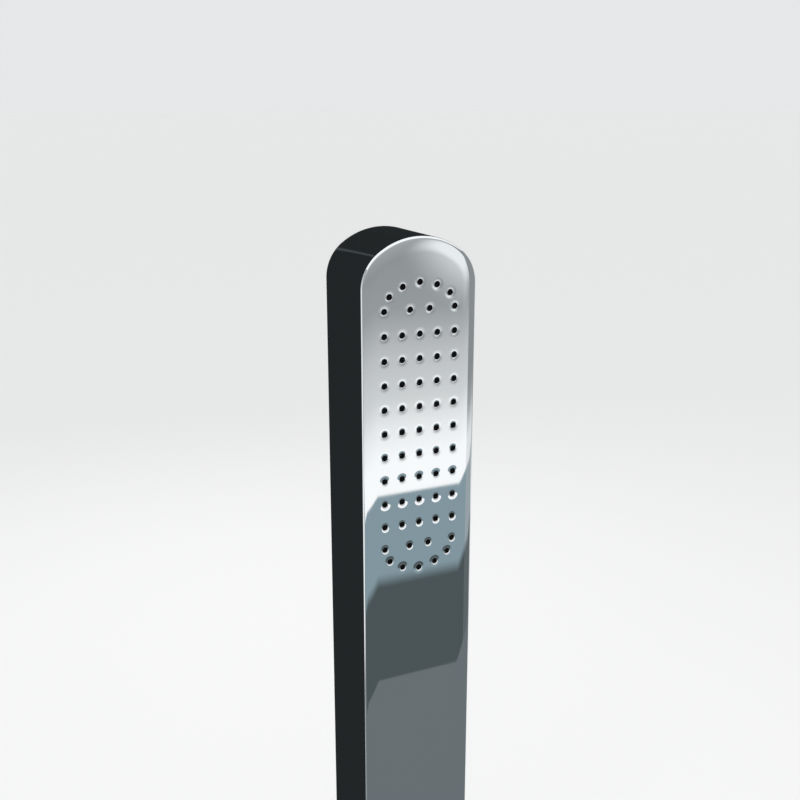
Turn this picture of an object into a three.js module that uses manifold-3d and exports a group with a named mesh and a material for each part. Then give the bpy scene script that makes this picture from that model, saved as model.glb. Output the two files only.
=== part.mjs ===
// A wall-mounted rain shower column in polished stainless steel, modelled in millimetres with +Z up.
// It hangs on two wall brackets. A rain chamber sprays through a field of small holes at the top, three
// swivelling body jets sit below it, and a thermostatic mixer and a diverter are at hand height.
// The wall is the plane y = 0 and the face looks towards -Y. The origin is on the wall, at the centre of the
// lower wall bracket. Heights are counted from the column's bottom edge and depths from the wall; each
// assembly is a group that stands at its own height, and the whole column is lowered at the end.
import * as THREE from "three";
import { mergeVertices } from "three/addons/utils/BufferGeometryUtils.js";
import Module from "manifold-3d";

const wasm = await Module();
wasm.setup();

// ---------------------------------------------------------------- driving dimensions

// fits and clearances
const gap = 0.3; // between pieces that touch
const slip = 0.5; // radial room round a piece that slides or screws into another
const reach = 1; // how far a cutting tool runs past the face that it opens

// casing
const columnWidth = 100;
const columnDepth = 75;
const columnHeight = 1350; // bottom edge to the top of the arch
const sheet = 1.5; // stainless sheet
const shoulderRadius = 35; // arch, where it leaves the sides
const crownFlattening = 10; // how much larger the arch's top radius is than half the width
const casingSetback = 1; // the casing's rear edge stops this far short of the wall

// bottom cap
const capSetUp = 1; // cap above the casing's lower edge
const capThickness = 2;
const capTabRise = 20;
const capTabHalfWidth = 9;
const capScrewRise = 14;
const capScrewRadius = 1.8;
const capScrewHeadRadius = 4;
const capScrewHeadEdge = 0.9;
const capScrewHeadHeight = 1.5;
const capScrewGrip = 3; // screw beyond the tab

// wall brackets and crossbars
const lowerBracketHeight = 100;
const upperBracketDrop = 160; // upper bracket below the top of the arch
const bracketHalfWidth = 30;
const bracketHalfHeight = 22;
const bracketPlate = 2.5;
const wallScrewX = 20;
const wallScrewDrop = 2;
const wallScrewRadius = 2.8;
const hookStandOff = 3.4; // gap behind the hook
const hookThickness = 2.2;
const hookRise = 11.3; // hook above the plate
const barThickness = 2;
const barFrontRoom = 2.9; // between the hook and the crossbar's web
const barLipDrop = 8.6; // down-turned lip behind the hook
const barBelow = 15; // crossbar's web below the bracket's centre
const barEndLength = 24; // folded ends that are welded to the casing

// spray field
const nozzleColumns = 5;
const nozzleRows = 9;
const nozzleRowPitch = 20;
const nozzleSideMargin = 19; // outer nozzles to the column's side
const nozzleTopDrop = 77.2; // top of the arch to the uppermost full row
const nozzlePairX = 8.6; // inner nozzles of the short row beyond each end
const nozzleArcRise = 1.4; // centre of the end arc beyond the outermost full row
const nozzleArcGrowth = 9; // the end arc's radius beyond the outer nozzles
const nozzleArcAngles = [-41.7, -22, 0, 22, 41.7];
const nozzleHoleRadius = 2.3;
const nozzleTipClearance = 0.55;
const nozzleBoreRadius = 0.7;
const nozzleRecess = 0.9; // the rubber tips end this far behind the face

// rain chamber
const matThickness = 2;
const chamberMargin = 5.5; // water space beyond the outer nozzles
const chamberWall = 2.5;
const chamberWater = 12; // depth of the water space
const flangeThickness = 3;
const flangeReach = 7; // flange beyond the chamber's side walls
const studRadius = 2;
const studSpan = 90; // studs above and below the middle of the field
const studProud = 6; // stud behind the flange
const nutThickness = 3.2;
const nutAcross = 6.2;
const bossRadius = 13;
const bossLength = 10;
const bossRise = 36; // inlet boss above the chamber's lower end

// hoses and pipes
const pipeRadius = 6;
const pipeBore = 4;
const passageRadius = 3.2; // passages drilled in the valve bodies
const hoseDepth = 18; // hoses before the wall
const hoseSideRoom = 2.5; // hose to the casing's side
const portInset = 4; // the diverter's ports inside the hoses' line
const hoseNutAcross = 17;
const hoseNutBelow = 10; // nut below and above the hose's end
const hoseNutAbove = 6;
const elbowCoreRadius = 8;
const elbowDrop = 22; // lower end of the rain elbow below its boss
const elbowFlange = 6;
const elbowFlangeRadius = 11;
const clipWall = 1;
const clipHalfHeight = 5;
const clipHalfDepth = 8;

// body jets
const jetHeights = [740, 620, 500];
const jetBallRadius = 17;
const jetBallDepth = 6; // centre of the ball behind the face
const jetCupWall = 3.5;
const jetBezelReach = 6; // bezel beyond the threaded cup
const jetBezelEdge = 1;
const jetLipProud = 3.5; // front rim of the bezel before the face
const jetNoseProud = 7; // flat spray face before the column's face
const jetNoseWall = 4;
const jetTailLength = 12; // ball behind its centre
const jetTailWall = 2.5;
const jetSocketBack = 6; // where the round socket ends behind the ball's centre
const jetBackRoom = 5; // ball to the back of the cup
const jetCupFloor = 3;
const jetNippleLength = 12;
const jetNutReach = 4; // backnut's flats beyond the thread
const jetNutThickness = 6;
const manifoldRadius = 9;
const manifoldBelow = 30; // manifold below the lowest jet
const manifoldAbove = 14;
const manifoldEnd = 4; // closed upper end

// valves
const mixerHeight = 360;
const mixerRadius = 23;
const mixerLength = 40;
const mixerBack = 6; // brass behind the cartridge
const diverterHeight = 190;
const diverterRadius = 20;
const diverterBlockHalfDepth = 10;
const diverterBlockHalfHeight = 14;
const portEndRoom = 7; // cross block beyond the ports
const portLength = 12;
const portPassageX = 7;
const portPassageRise = 3;
const noseRadius = 15.5; // threaded nose of both valves, through the face
const noseProud = 2.5;
const cartridgeRadius = 12;
const cartridgeNoseInset = 3;
const cartridgeNoseLength = 6;
const diverterCartridgeLength = 22.2;
const discThickness = 3;
const discPortRadius = 2.5;
const spindleRadius = 4;
const spindleRoom = 0.4; // radial room round a spindle in its knob
const spindleEnd = 4; // temperature spindle's end before the cartridge's
const linkDepth = 13; // link pipe behind the face
const stubRadius = 9; // bosses for the pipes
const stubLength = 6;
const stubSocket = 4; // pipe end inside the barrel's own radius
const shoulderLow = 21;
const shoulderHigh = 3;
const legLength = 14; // inlet legs below the mixer's barrel
const inletDepth = 30; // inlet legs behind the face
const checkValveSetUp = 2;
const checkValveLength = 12;
const checkValveBore = 2;
const unionNutAcross = 22;
const unionNutHeight = 9;
const elbowLength = 20;
const socketRadius = 9.5;
const socketWall = 2;
const socketDepth = 10;
const socketCollar = 14;
const inletSetback = 6; // open end of the supply elbows before the wall
const inletSideRoom = 1.5; // elbow to the hose beside it

// controls
const escutcheonRadius = 30;
const escutcheonThickness = 4;
const escutcheonChamfer = 1.2;
const knobRadius = 23;
const knobChamfer = 1.5;
const knobStandOff = 0.6;
const knobNoseRoom = 2;
const knobRecessDepth = 8;
const knobFrontWall = 6;
const temperatureKnobLength = 33;
const diverterKnobLength = 28;
const controlSetForward = 3; // button and lever before the middle of their knobs
const buttonRadius = 3.4;
const buttonLength = 9;
const buttonTravel = 1.5;
const buttonEdge = 0.6;
const leverRadius = 3.6;
const leverNeck = 0.8; // how much slimmer the lever is at its root
const leverNeckLength = 4;
const leverEdge = 1;
const leverLength = 24.7;

// hand shower outlet
const outletDepth = 40; // behind the face
const outletRadius = 10.4; // thread
const outletBore = 5;
const outletThreadLength = 12;
const outletCollarRadius = 14;
const outletCollarHeight = 4;
const outletTop = 24;
const outletNutAcross = 27;
const outletNutHeight = 6;
const pipeSeat = 12; // where the outlet pipe ends above the column's bottom edge

// ---------------------------------------------------------------- worked-out places

const halfWidth = columnWidth / 2;
const innerHalf = halfWidth - sheet;
const faceY = -columnDepth;
const behindFace = (distance) => faceY + distance;
const innerFaceY = behindFace(sheet);
const crownRadius = halfWidth + crownFlattening;
const shoulderX = halfWidth - shoulderRadius;
const crownDrop = Math.sqrt((crownRadius - shoulderRadius) ** 2 - shoulderX ** 2);
const springHeight = columnHeight - (crownRadius - crownDrop);

const outerNozzleX = halfWidth - nozzleSideMargin;
const nozzlePitch = (2 * outerNozzleX) / (nozzleColumns - 1);
const fieldHalf = ((nozzleRows - 1) * nozzleRowPitch) / 2;
const fieldHeight = columnHeight - nozzleTopDrop - fieldHalf;
const arcCentre = fieldHalf + nozzleArcRise;
const nozzleArcRadius = outerNozzleX + nozzleArcGrowth;
const nozzleTipRadius = nozzleHoleRadius - nozzleTipClearance;

const matFrontY = innerFaceY + gap;
const matBackY = matFrontY + matThickness;
const chamberFrontY = matBackY + gap;
const flangeBackY = chamberFrontY + flangeThickness;
const chamberBackY = chamberFrontY + chamberWater + chamberWall;
const bossBackY = chamberBackY + bossLength;
const waterHalf = outerNozzleX + chamberMargin;
const flangeHalf = waterHalf + chamberWall + flangeReach;
const studX = flangeHalf - flangeReach / 2;
const bossHeight = bossRise - arcCentre - nozzleArcRadius - chamberMargin - chamberWall;

const hoseY = -hoseDepth;
const hoseX = innerHalf - hoseSideRoom - pipeRadius;
const portX = hoseX - portInset;
const collarRadius = socketRadius + socketWall;
const inletX = hoseX - pipeRadius - inletSideRoom - collarRadius;
const inletY = behindFace(inletDepth);
const linkY = behindFace(linkDepth);
const outletY = behindFace(outletDepth);

const ballY = behindFace(jetBallDepth);
const jetSocketRadius = jetBallRadius + slip;
const jetSleeveRadius = jetSocketRadius + jetCupWall - slip;
const jetCupBackY = ballY + jetBallRadius + jetBackRoom;
const manifoldLow = Math.min(...jetHeights) - manifoldBelow;
const manifoldTop = Math.max(...jetHeights) + manifoldAbove;

const valveShoulderY = innerFaceY + gap;
const noseY = behindFace(-noseProud);
const mixerBackY = valveShoulderY + mixerLength;
const diverterCartridgeBackY = valveShoulderY + diverterCartridgeLength;
const diverterFloorY = diverterCartridgeBackY + slip + discThickness + slip;
const knobBackY = faceY - gap - escutcheonThickness - knobStandOff;
const portTop = diverterBlockHalfHeight + portLength;
const legLow = -mixerRadius - legLength;
const elbowHeight = legLow - elbowLength;
const bracketHeights = { upper: columnHeight - upperBracketDrop, lower: lowerBracketHeight };

// ---------------------------------------------------------------- finishes

const finish = (color, roughness, metalness) =>
  new THREE.MeshStandardMaterial({ color, roughness, metalness });
const mirrorSteel = finish(0xd4d8da, 0.06, 1);
const satinSteel = finish(0xa9acae, 0.38, 1);
const chrome = finish(0xdde0e3, 0.08, 1);
const brass = finish(0xb58f45, 0.35, 1);
const copper = finish(0xb8714a, 0.32, 1);
const braid = finish(0x9a9da0, 0.45, 0.9);
const blackRubber = finish(0x101112, 0.6, 0);
const darkPlastic = finish(0x2a2c2e, 0.5, 0);
const whitePlastic = finish(0xd9d9d4, 0.45, 0);
const redPlastic = finish(0xa81e1e, 0.4, 0);
const ceramic = finish(0xd0ccc4, 0.3, 0);

// ---------------------------------------------------------------- solid modelling helpers

/** Closed geometry as a manifold solid. */
function toSolid(geometry) {
  const bare = geometry.index ? geometry.toNonIndexed() : geometry.clone();
  bare.deleteAttribute("normal");
  bare.deleteAttribute("uv");
  const merged = mergeVertices(bare, 1e-3);
  const corners = [];
  for (let i = 0; i < merged.index.count; i += 3) {
    const [a, b, c] = [0, 1, 2].map((k) => merged.index.getX(i + k));
    if (a !== b && b !== c && c !== a) corners.push(a, b, c);
  }
  const vertProperties = new Float32Array(merged.attributes.position.array);
  return new wasm.Manifold(new wasm.Mesh({ numProp: 3, vertProperties, triVerts: new Uint32Array(corners) }));
}

/** Manifold solid back to a geometry. */
function toGeometry(solid) {
  const mesh = solid.getMesh();
  const positions = new Float32Array(mesh.numVert * 3);
  for (let i = 0; i < mesh.numVert; i++) {
    positions.set(mesh.vertProperties.subarray(i * mesh.numProp, i * mesh.numProp + 3), i * 3);
  }
  return new THREE.BufferGeometry()
    .setAttribute("position", new THREE.BufferAttribute(positions, 3))
    .setIndex(new THREE.BufferAttribute(new Uint32Array(mesh.triVerts), 1));
}

const join = (...geometries) => toGeometry(geometries.map(toSolid).reduce((a, b) => a.add(b)));
const cut = (body, ...tools) => toGeometry(tools.map(toSolid).reduce((a, b) => a.subtract(b), toSolid(body)));

/** An outline drawn in x and z, made solid between two depths. */
function slab(shape, frontY, backY, curveSegments = 8) {
  const options = { depth: backY - frontY, bevelEnabled: false, curveSegments };
  return new THREE.ExtrudeGeometry(shape, options).rotateX(Math.PI / 2).translate(0, backY, 0);
}

/** A section drawn in y and z, made solid across the column, as far to the left as to the right. */
function crosswise(points, half) {
  const shape = new THREE.Shape(points.map(([y, z]) => new THREE.Vector2(y, z)));
  const geometry = new THREE.ExtrudeGeometry(shape, { depth: 2 * half, bevelEnabled: false });
  const across = new THREE.Vector3(1, 0, 0);
  const back = new THREE.Vector3(0, 1, 0);
  const up = new THREE.Vector3(0, 0, 1);
  return geometry.applyMatrix4(new THREE.Matrix4().makeBasis(back, up, across)).translate(-half, 0, 0);
}

const block = (x0, x1, y0, y1, z0, z1) =>
  new THREE.BoxGeometry(x1 - x0, y1 - y0, z1 - z0).translate((x0 + x1) / 2, (y0 + y1) / 2, (z0 + z1) / 2);

/** The same block on the left or the right, told by the side: -1 or 1. */
const sideBlock = (side, x0, x1, ...rest) => (side > 0 ? block(x0, x1, ...rest) : block(-x1, -x0, ...rest));

/** A solid of revolution from a closed profile of [radius, place along the local Y axis]. */
function revolve(profile, segments) {
  const points = profile.map(([radius, along]) => new THREE.Vector2(radius, along));
  if (THREE.ShapeUtils.area(points) < 0) points.reverse();
  points.push(points[0].clone());
  return new THREE.LatheGeometry(points, segments);
}

/** A turned piece whose axis runs front to back, x across and z up from its group. */
const turned = (profile, segments = 16, x = 0, z = 0) => revolve(profile, segments).translate(x, 0, z);

/** A turned piece whose axis is upright, x across and y from the wall. */
const upright = (profile, segments = 16, x = 0, y = 0) =>
  revolve(profile, segments)
    .rotateX(Math.PI / 2)
    .translate(x, y, 0);

/** A round bar that lies across the column. */
const crossBar = (radius, x0, x1, y, z, segments = 8) =>
  revolve(disc(radius, x0, x1), segments)
    .rotateZ(-Math.PI / 2)
    .translate(0, y, z);

const disc = (radius, from, to) => [[0, from], [radius, from], [radius, to], [0, to]];
const ring = (inner, outer, from, to) => [[inner, from], [outer, from], [outer, to], [inner, to]];

/** Six-sided outline with two flats to the left and right; across is the distance over its flats. */
function hexagon(across, boreRadius) {
  const corner = across / Math.sqrt(3);
  const shape = new THREE.Shape();
  for (let i = 0; i < 6; i++) {
    const a = (Math.PI * (i + 0.5)) / 3;
    shape[i ? "lineTo" : "moveTo"](corner * Math.cos(a), corner * Math.sin(a));
  }
  return pierce(shape, boreRadius, 0, 0);
}

function pierce(shape, radius, x, z) {
  const path = new THREE.Path();
  path.absarc(x, z, radius, 0, 2 * Math.PI, true);
  shape.holes.push(path);
  return shape;
}

/** A hexagonal nut with an upright axis. */
function uprightNut(across, boreRadius, low, high) {
  const options = { depth: high - low, bevelEnabled: false, curveSegments: 8 };
  return new THREE.ExtrudeGeometry(hexagon(across, boreRadius), options).translate(0, 0, low);
}

/** A solid round hose through a route of points; steps is the number of rings on its length. */
function hoseThrough(route, steps, sides = 8) {
  const section = new THREE.Shape();
  for (let i = 0; i < sides; i++) {
    const a = (2 * Math.PI * i) / sides;
    section[i ? "lineTo" : "moveTo"](pipeRadius * Math.cos(a), pipeRadius * Math.sin(a));
  }
  section.closePath();
  const extrudePath = new THREE.CatmullRomCurve3(route, false, "centripetal");
  return new THREE.ExtrudeGeometry(section, { steps, extrudePath, bevelEnabled: false });
}

// ---------------------------------------------------------------- outlines

/** The column's arched outline, drawn inset by some distance and from some lower edge. */
function archOutline(inset, low) {
  const half = halfWidth - inset;
  const turn = Math.atan2(crownDrop, shoulderX);
  const shape = new THREE.Shape();
  shape.moveTo(-half, low);
  shape.lineTo(half, low);
  shape.absarc(shoulderX, springHeight, shoulderRadius - inset, 0, turn, false);
  shape.absarc(0, springHeight - crownDrop, crownRadius - inset, turn, Math.PI - turn, false);
  shape.absarc(-shoulderX, springHeight, shoulderRadius - inset, Math.PI - turn, Math.PI, false);
  shape.closePath();
  return shape;
}

/** Straight sides and two flat arcs round the spray field, grown beyond the end nozzles by a margin. */
function fieldOutline(half, margin) {
  const radius = nozzleArcRadius + margin;
  const turn = Math.acos(Math.min(half / radius, 1));
  const shape = new THREE.Shape();
  shape.absarc(0, arcCentre, radius, turn, Math.PI - turn, false);
  shape.absarc(0, -arcCentre, radius, Math.PI + turn, 2 * Math.PI - turn, false);
  shape.closePath();
  return shape;
}

/** Every nozzle's place as [x, z] from the middle of the field. */
function nozzlePlaces() {
  const places = [];
  for (let row = 0; row < nozzleRows; row++) {
    for (let column = 0; column < nozzleColumns; column++) {
      places.push([column * nozzlePitch - outerNozzleX, fieldHalf - row * nozzleRowPitch]);
    }
  }
  for (const end of [1, -1]) {
    for (const x of [-outerNozzleX, -nozzlePairX, nozzlePairX, outerNozzleX]) {
      places.push([x, end * (fieldHalf + nozzleRowPitch)]);
    }
    for (const angle of nozzleArcAngles.map(THREE.MathUtils.degToRad)) {
      places.push([nozzleArcRadius * Math.sin(angle), end * (arcCentre + nozzleArcRadius * Math.cos(angle))]);
    }
  }
  return places;
}

const studPlaces = {
  upper_left: [-studX, studSpan],
  upper_right: [studX, studSpan],
  lower_left: [-studX, -studSpan],
  lower_right: [studX, -studSpan],
};

// ---------------------------------------------------------------- casing

/** Welded sheet casing: the face, and one band up the side, over the arch and down the other side. */
function casing() {
  const outer = slab(archOutline(0, 0), faceY, -casingSetback, 6);
  const inner = slab(archOutline(sheet, -reach), innerFaceY, reach, 6);
  const through = (radius) => disc(radius, faceY - reach, innerFaceY + reach);
  const sprayHole = through(nozzleHoleRadius);
  const sprayHoles = nozzlePlaces().map(([x, z]) => turned(sprayHole, 8, x, fieldHeight + z));
  const jetHoles = jetHeights.map((height) => turned(through(jetSleeveRadius + slip), 24, 0, height));
  const valveHeights = [mixerHeight, diverterHeight];
  const valveHoles = valveHeights.map((height) => turned(through(noseRadius + slip), 24, 0, height));
  const pastSide = halfWidth + reach;
  const screwHoles = crossBar(capScrewRadius + slip, -pastSide, pastSide, outletY, capScrewRise);
  return cut(outer, inner, ...sprayHoles, ...jetHoles, ...valveHoles, screwHoles);
}

/** Plate that closes the lower end, with a folded tab each side. */
function bottomCap() {
  const half = innerHalf - gap;
  const capTop = capSetUp + capThickness;
  const plate = block(-half, half, innerFaceY + gap, -casingSetback, capSetUp, capTop);
  const tabY = [outletY - capTabHalfWidth, outletY + capTabHalfWidth];
  const tabZ = [capSetUp, capSetUp + capTabRise];
  const tabs = [-1, 1].map((side) => sideBlock(side, half - capThickness, half, ...tabY, ...tabZ));
  const outletHole = upright(disc(outletRadius + slip, -reach, capTop + reach), 20, 0, outletY);
  const screwHoles = crossBar(capScrewRadius + slip, -half, half, outletY, capScrewRise);
  return cut(join(plate, ...tabs), outletHole, screwHoles);
}

/** Screw through the casing's side into the cap's tab; side is -1 or 1. */
function capScrew(side) {
  const tip = innerHalf - gap - capThickness - capScrewGrip;
  const head = halfWidth + gap;
  const profile = [
    [0, tip],
    [capScrewRadius, tip],
    [capScrewRadius, head],
    [capScrewHeadRadius, head],
    [capScrewHeadRadius, head + capScrewHeadEdge],
    [0, head + capScrewHeadHeight],
  ];
  return revolve(profile, 10).rotateZ((-Math.PI / 2) * side);
}

// ---------------------------------------------------------------- wall fixing

const hookBackY = -bracketPlate - hookStandOff;
const hookFrontY = hookBackY - hookThickness;
const hookTop = bracketHalfHeight + hookRise;

/** Hook plate that is screwed to the wall. */
function wallBracket() {
  const section = [
    [0, -bracketHalfHeight],
    [0, bracketHalfHeight],
    [hookBackY, bracketHalfHeight],
    [hookBackY, hookTop],
    [hookFrontY, hookTop],
    [hookFrontY, bracketHalfHeight - bracketPlate],
    [-bracketPlate, bracketHalfHeight - bracketPlate],
    [-bracketPlate, -bracketHalfHeight],
  ];
  const screwHole = disc(wallScrewRadius, -bracketPlate - reach, reach);
  const holes = [-wallScrewX, wallScrewX].map((x) => turned(screwHole, 12, x, -wallScrewDrop));
  return cut(crosswise(section, bracketHalfWidth), ...holes);
}

/** Bar welded across the casing, folded over the bracket's hook. */
function crossbar() {
  const webY = hookFrontY - barFrontRoom;
  const lipY = hookBackY + barThickness + 2 * gap;
  const under = hookTop + gap;
  const section = [
    [webY - barThickness, -barBelow],
    [webY, -barBelow],
    [webY, under],
    [lipY - barThickness, under],
    [lipY - barThickness, under - barLipDrop],
    [lipY, under - barLipDrop],
    [lipY, under + barThickness],
    [webY - barThickness, under + barThickness],
  ];
  const half = innerHalf - gap;
  const ends = [-1, 1].map((side) =>
    sideBlock(side, half - barThickness, half, webY - barEndLength, webY, -barBelow, under),
  );
  return join(crosswise(section, half), ...ends);
}

// ---------------------------------------------------------------- rain head, from the middle of the field

/** Rubber sheet that seals the chamber against the face, with a tip in every spray hole. */
function nozzleMat() {
  const shape = fieldOutline(flangeHalf, chamberMargin + chamberWall);
  for (const [x, z] of Object.values(studPlaces)) pierce(shape, studRadius + slip, x, z);
  const tip = disc(nozzleTipRadius, faceY + nozzleRecess, matFrontY + slip);
  const tips = nozzlePlaces().map(([x, z]) => turned(tip, 6, x, z));
  const bore = disc(nozzleBoreRadius, faceY, matBackY + reach);
  const bores = nozzlePlaces().map(([x, z]) => turned(bore, 4, x, z));
  return cut(join(slab(shape, matFrontY, matBackY, 6), ...tips), ...bores);
}

/** Moulded water chamber behind the mat, with its inlet boss. */
function rainChamber() {
  const flangeShape = fieldOutline(flangeHalf, chamberMargin + chamberWall);
  for (const [x, z] of Object.values(studPlaces)) pierce(flangeShape, studRadius + slip, x, z);
  const wallShape = fieldOutline(waterHalf + chamberWall, chamberMargin + chamberWall);
  const body = join(
    slab(flangeShape, chamberFrontY, flangeBackY, 6),
    slab(wallShape, chamberFrontY, chamberBackY, 6),
    turned(disc(bossRadius, chamberBackY - reach, bossBackY), 16, 0, bossHeight),
  );
  const waterBackY = chamberFrontY + chamberWater;
  const water = slab(fieldOutline(waterHalf, chamberMargin), chamberFrontY - reach, waterBackY, 6);
  const bore = turned(disc(pipeRadius + slip, chamberFrontY, bossBackY + reach), 16, 0, bossHeight);
  return cut(body, water, bore);
}

/** Stud welded to the back of the face. */
const chamberStud = () => turned(disc(studRadius, innerFaceY + gap, flangeBackY + studProud), 8);

/** Nut that clamps the chamber on its stud. */
function chamberNut() {
  const frontY = flangeBackY + gap;
  return slab(hexagon(nutAcross, studRadius + gap), frontY, frontY + nutThickness, 4);
}

/** Fitting that leaves the boss towards the wall and turns down to a hose, from the boss's axis. */
function rainElbow() {
  const startY = bossBackY + gap;
  const body = join(
    turned(disc(pipeRadius, startY - bossLength, startY + reach)),
    turned(disc(elbowFlangeRadius, startY, startY + elbowFlange)),
    turned(disc(elbowCoreRadius, startY + elbowFlange - reach, hoseY + elbowCoreRadius)),
    upright(disc(elbowCoreRadius, -elbowDrop, 0), 12, 0, hoseY),
  );
  const inward = turned(disc(pipeBore, startY - bossLength - reach, hoseY), 8);
  return cut(body, inward, upright(disc(pipeBore, -elbowDrop - reach, pipeBore), 8, 0, hoseY));
}

// ---------------------------------------------------------------- body jets, each from its own axis

/** Arc of the ball or its socket between two depths. */
function ballArc(radius, fromY, toY, steps) {
  const from = Math.asin((fromY - ballY) / radius);
  const to = Math.asin((toY - ballY) / radius);
  return Array.from({ length: steps + 1 }, (_, i) => {
    const a = from + ((to - from) * i) / steps;
    return [radius * Math.cos(a), ballY + radius * Math.sin(a)];
  });
}

/** Bezel, threaded cup and hose nipple of one body jet, in one piece. */
function jetHousing() {
  const lipY = behindFace(-jetLipProud);
  const bezelBackY = faceY - gap;
  const bezelRadius = jetSleeveRadius + jetBezelReach;
  const nippleY = jetCupBackY + jetNippleLength;
  const socket = ballArc(jetSocketRadius, lipY, ballY + jetSocketBack, 6);
  const cavityRadius = socket[socket.length - 1][0];
  const profile = [
    ...socket,
    [cavityRadius, jetCupBackY - jetCupFloor],
    [pipeBore, jetCupBackY - jetCupFloor],
    [pipeBore, nippleY],
    [pipeRadius, nippleY],
    [pipeRadius, jetCupBackY],
    [jetSleeveRadius, jetCupBackY],
    [jetSleeveRadius, bezelBackY],
    [bezelRadius, bezelBackY],
    [bezelRadius, bezelBackY - jetBezelEdge],
    [bezelRadius - jetBezelReach / 2, lipY],
  ];
  return turned(profile, 20);
}

/** Swivelling ball with a flat spray face. */
function jetNozzle() {
  const frontY = behindFace(-jetNoseProud);
  const tailY = ballY + jetTailLength;
  const outside = ballArc(jetBallRadius, frontY, tailY, 7);
  const boreRadius = outside[outside.length - 1][0] - jetTailWall;
  const boreY = frontY + jetNoseWall;
  return turned([[0, frontY], ...outside, [boreRadius, tailY], [boreRadius, boreY], [0, boreY]], 20);
}

/** Ring nut behind the face that clamps a jet. */
function jetBacknut() {
  const shape = hexagon(2 * (jetSleeveRadius + jetNutReach), jetSleeveRadius + slip);
  return slab(shape, innerFaceY + gap, innerFaceY + gap + jetNutThickness, 12);
}

/** Upright pipe that feeds the jets, with a socket for each. */
function jetManifold() {
  const socketFrontY = jetCupBackY + jetCupFloor;
  const arms = jetHeights.map((height) => turned(disc(manifoldRadius, socketFrontY, hoseY), 12, 0, height));
  const socket = disc(pipeRadius + slip, socketFrontY - reach, hoseY - 2 * reach);
  const sockets = jetHeights.map((height) => turned(socket, 16, 0, height));
  const trunk = upright(disc(manifoldRadius, manifoldLow, manifoldTop), 12, 0, hoseY);
  const bore = upright(disc(pipeRadius, manifoldLow - reach, manifoldTop - manifoldEnd), 10, 0, hoseY);
  return cut(join(trunk, ...arms), ...sockets, bore);
}

// ---------------------------------------------------------------- valves, each from its own axis

/** Barrel and threaded nose that both valves share. */
function valveBarrel(radius, backY) {
  const profile = [
    [0, noseY],
    [noseRadius, noseY],
    [noseRadius, valveShoulderY],
    [radius, valveShoulderY],
    [radius, backY],
    [0, backY],
  ];
  return turned(profile, 20);
}

/** Boss for a pipe above or below a barrel, and the hole that the pipe sits in. */
function pipeStub(side, barrelRadius, y) {
  const end = barrelRadius + stubLength;
  const seat = barrelRadius - stubSocket;
  const span = (from, to) => (side > 0 ? [from, to] : [-to, -from]);
  return {
    boss: upright(disc(stubRadius, ...span(0, end)), 12, 0, y),
    seat: upright(disc(pipeRadius + slip, ...span(seat, end + reach)), 14, 0, y),
    passage: upright(disc(passageRadius, ...span(cartridgeRadius / 2, seat + reach)), 8, 0, y),
  };
}

/** Brass mixer body with two inlet legs and the outlet to the diverter. */
function mixerBody() {
  const leg = disc(stubRadius, legLow, -cartridgeRadius);
  const legBore = disc(pipeRadius, legLow - reach, -cartridgeRadius);
  const legs = [-inletX, inletX].map((x) => upright(leg, 12, x, inletY));
  const legBores = [-inletX, inletX].map((x) => upright(legBore, 14, x, inletY));
  const barX = inletX + stubRadius;
  const barY = [inletY - stubRadius, inletY + stubRadius];
  const shoulderBar = block(-barX, barX, ...barY, -shoulderLow, -shoulderHigh);
  const outlet = pipeStub(-1, mixerRadius, linkY);
  const cavity = turned(disc(cartridgeRadius + slip, noseY - reach, mixerBackY - mixerBack));
  const inward = crossBar(passageRadius, -inletX, inletX, inletY, -cartridgeRadius);
  const body = join(valveBarrel(mixerRadius, mixerBackY), shoulderBar, ...legs, outlet.boss);
  return cut(body, cavity, ...legBores, inward, outlet.seat, outlet.passage);
}

/** Brass diverter body with a cross block for the two hoses, its inlet above and its outlet below. */
function diverterBody() {
  const blockY = [hoseY - diverterBlockHalfDepth, hoseY + diverterBlockHalfDepth];
  const blockX = [-portX - portEndRoom, portX + portEndRoom];
  const crossBlock = block(...blockX, ...blockY, -diverterBlockHalfHeight, diverterBlockHalfHeight);
  const port = disc(pipeRadius, diverterBlockHalfHeight - reach, portTop);
  const portBore = disc(pipeBore, 0, portTop + reach);
  const inlet = pipeStub(1, diverterRadius, linkY);
  const outlet = pipeStub(-1, diverterRadius, outletY);
  const barrel = valveBarrel(diverterRadius, blockY[0] + reach);
  const ports = [-portX, portX].map((x) => upright(port, 12, x, hoseY));
  const brass = join(barrel, crossBlock, ...ports, inlet.boss, outlet.boss);

  const floorY = diverterFloorY - reach;
  const toPort = disc(passageRadius, floorY, hoseY + passageRadius);
  const toOutlet = disc(passageRadius, floorY, outletY + passageRadius);
  const ways = [
    turned(disc(cartridgeRadius + slip, noseY - reach, diverterFloorY)),
    turned(toOutlet, 8, 0, -cartridgeRadius / 2),
    ...[inlet.seat, inlet.passage, outlet.seat, outlet.passage],
  ];
  for (const side of [-1, 1]) {
    const passageX = side * portPassageX;
    ways.push(upright(portBore, 8, side * portX, hoseY));
    ways.push(turned(toPort, 8, passageX, portPassageRise));
    const span = [passageX, side * portX].sort((left, right) => left - right);
    ways.push(crossBar(passageRadius, ...span, hoseY, portPassageRise));
  }
  return cut(brass, ...ways);
}

/** Cartridge in a valve's bore; its open front guides the spindle. */
function cartridge(backY) {
  const profile = [
    [spindleRadius + slip, noseY - cartridgeNoseLength],
    [cartridgeRadius - cartridgeNoseInset, noseY - cartridgeNoseLength],
    [cartridgeRadius - cartridgeNoseInset, noseY],
    [cartridgeRadius, noseY],
    [cartridgeRadius, backY],
    [spindleRadius + slip, backY],
  ];
  return turned(profile);
}

/** Splined shaft that carries a knob. */
const spindle = (knobLength, backY) =>
  turned(disc(spindleRadius, knobBackY - knobLength + knobFrontWall + reach, backY), 10);

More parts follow.
